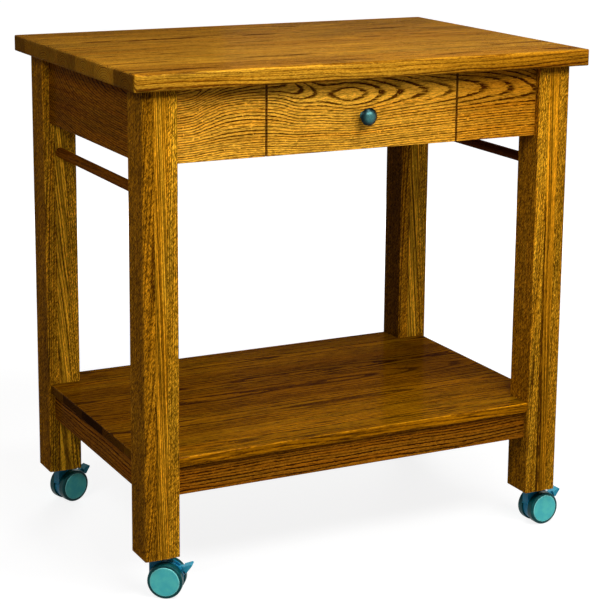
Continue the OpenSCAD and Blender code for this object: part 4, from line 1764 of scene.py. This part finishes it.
@dataclass
class Studio:
    """A pale floor, soft lights and the camera at the photograph's angle.

    Attributes:
        location: Where the camera stands.
        yaw: How far it is turned about the vertical.
        pitch: How far it looks up.
        roll: How far it is tilted.
        lens: Its focal length in millimetres.
        film: The width of its film in millimetres.
        shift_y: How far the picture is shifted upwards, in picture widths.
        sight: How far it sees.
        lamps: The lights.
        ambient: How strongly the world lights the trolley.
        floor_half: Half the side of the floor.
        floor_grey: How pale the floor is where light falls on it.
        floor_glow: How the floor's own white grows with the distance from the trolley, so that a
            shadow stays below it.
    """

    location: Triple = (-1.545638, -3.089743, 1.344919)
    yaw: float = math.radians(-26.754)
    pitch: float = math.radians(-11.985)
    roll: float = math.radians(0.48)
    lens: float = 108.869
    film: float = 36.0
    shift_y: float = -0.1496
    sight: float = 50.0
    lamps: tuple[Lamp, ...] = (
        Lamp("overhead", (0.25, -0.85, 2.1), (0.5, 0.5), 12.5),
        Lamp("front", (0.2, -1.45, 1.68), (1.5, 0.5), 24.0),
        Lamp("side", (-1.6, -1.0, 1.9), (0.6, 0.6), 12.0),
        Lamp("rear", (1.8, 2.6, 1.8), (1.5, 1.5), 12.0),
        Lamp("rear_low", (1.4, 2.8, 0.7), (1.4, 1.0), 50.0, mirrored=False))
    ambient: float = 0.10
    floor_half: float = 12.0
    floor_grey: float = 0.3
    floor_glow: Step = Step(0.9, 2.6, 0.84, 1.0)

    def build(self) -> None:
        """Adds the camera, the lights, the world and the floor."""
        self.add_camera()
        for lamp in self.lamps:
            lamp.add()
        self.add_world()
        self.add_floor()
        bpy.context.scene.view_settings.view_transform = "Standard"

    def add_camera(self) -> None:
        """Adds the camera."""
        level = math.cos(self.pitch)
        forward = Vector((-math.sin(self.yaw) * level, math.cos(self.yaw) * level, math.sin(self.pitch)))
        right = Vector((math.cos(self.yaw), math.sin(self.yaw), 0.0))
        up = right.cross(forward)
        rolled_right = right * math.cos(self.roll) + up * math.sin(self.roll)
        rolled_up = up * math.cos(self.roll) - right * math.sin(self.roll)
        data = bpy.data.cameras.new("camera")
        data.lens = self.lens
        data.sensor_width = self.film
        data.shift_y = self.shift_y
        data.clip_end = self.sight
        camera = bpy.data.objects.new("camera", data)
        turn = Matrix((rolled_right, rolled_up, -forward)).transposed().to_4x4()
        camera.matrix_world = Matrix.Translation(self.location) @ turn
        bpy.context.scene.collection.objects.link(camera)
        bpy.context.scene.camera = camera

    @staticmethod
    def seen_rays(g: Graph) -> Socket:
        """Finds the rays that show the background itself: camera, mirror and glass rays.

        Args:
            g: The graph of the world or of a material.

        Returns:
            1 for those rays and 0 for the rest.
        """
        rays = g.node("ShaderNodeLightPath")
        seen = g.math("MAXIMUM", rays.outputs["Is Camera Ray"], rays.outputs["Is Glossy Ray"])
        return g.math("MAXIMUM", seen, rays.outputs["Is Transmission Ray"])

    def add_world(self) -> None:
        """Adds a white background over a plain ambient light."""
        world = bpy.data.worlds.new("studio")
        world.use_nodes = True
        g = Graph(world.node_tree)
        background = next(node for node in world.node_tree.nodes if node.type == "BACKGROUND")
        background.inputs["Color"].default_value = (1.0, 1.0, 1.0, 1.0)
        g.feed(background.inputs["Strength"], g.scaled(self.seen_rays(g), 1.0 - self.ambient, self.ambient))
        bpy.context.scene.world = world

    def add_floor(self) -> None:
        """Adds a white floor that keeps the trolley's shadow."""
        half, grey = self.floor_half, self.floor_grey
        mesh = bpy.data.meshes.new("floor")
        mesh.from_pydata([(-half, -half, 0), (half, -half, 0), (half, half, 0), (-half, half, 0)], [],
                         [(0, 1, 2, 3)])
        floor = bpy.data.objects.new("floor", mesh)
        bpy.context.scene.collection.objects.link(floor)
        material, g, shader = new_material("white_floor")
        shader.inputs["Base Color"].default_value = (grey, grey, grey, 1.0)
        shader.inputs["Roughness"].default_value = 1.0
        shader.inputs["Specular IOR Level"].default_value = 0.0
        glow = g.node("ShaderNodeEmission")
        away = g.length(g.node("ShaderNodeTexCoord").outputs["Object"])
        g.feed(glow.inputs["Strength"], g.math("MULTIPLY", self.seen_rays(g), g.ramp(away, self.floor_glow)))
        both = g.node("ShaderNodeAddShader")
        sink = next(node for node in material.node_tree.nodes if node.type == "OUTPUT_MATERIAL")
        g.feed(both.inputs[0], shader.outputs[0])
        g.feed(both.inputs[1], glow.outputs[0])
        g.feed(sink.inputs["Surface"], both.outputs[0])
        mesh.materials.append(material)


def main() -> None:
    """Builds the studio and dresses the trolley, sub-assembly by sub-assembly."""
    logging.basicConfig(level=logging.INFO, format="%(name)s: %(message)s")
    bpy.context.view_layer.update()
    Studio().build()
    LOG.info("built the studio")
    timber = Timber()
    steel = SteelFinish().make()
    WorkTop().dress(timber, steel)
    LOG.info("dressed the work top")
    Carcase().dress(timber)
    LOG.info("dressed the carcase")
    Shelf().dress(timber)
    LOG.info("dressed the shelf")
    DrawerBox().dress(timber, steel)
    LOG.info("dressed the drawer")
    Casters().dress(steel)


if __name__ == "__main__":
    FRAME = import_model()
    main()
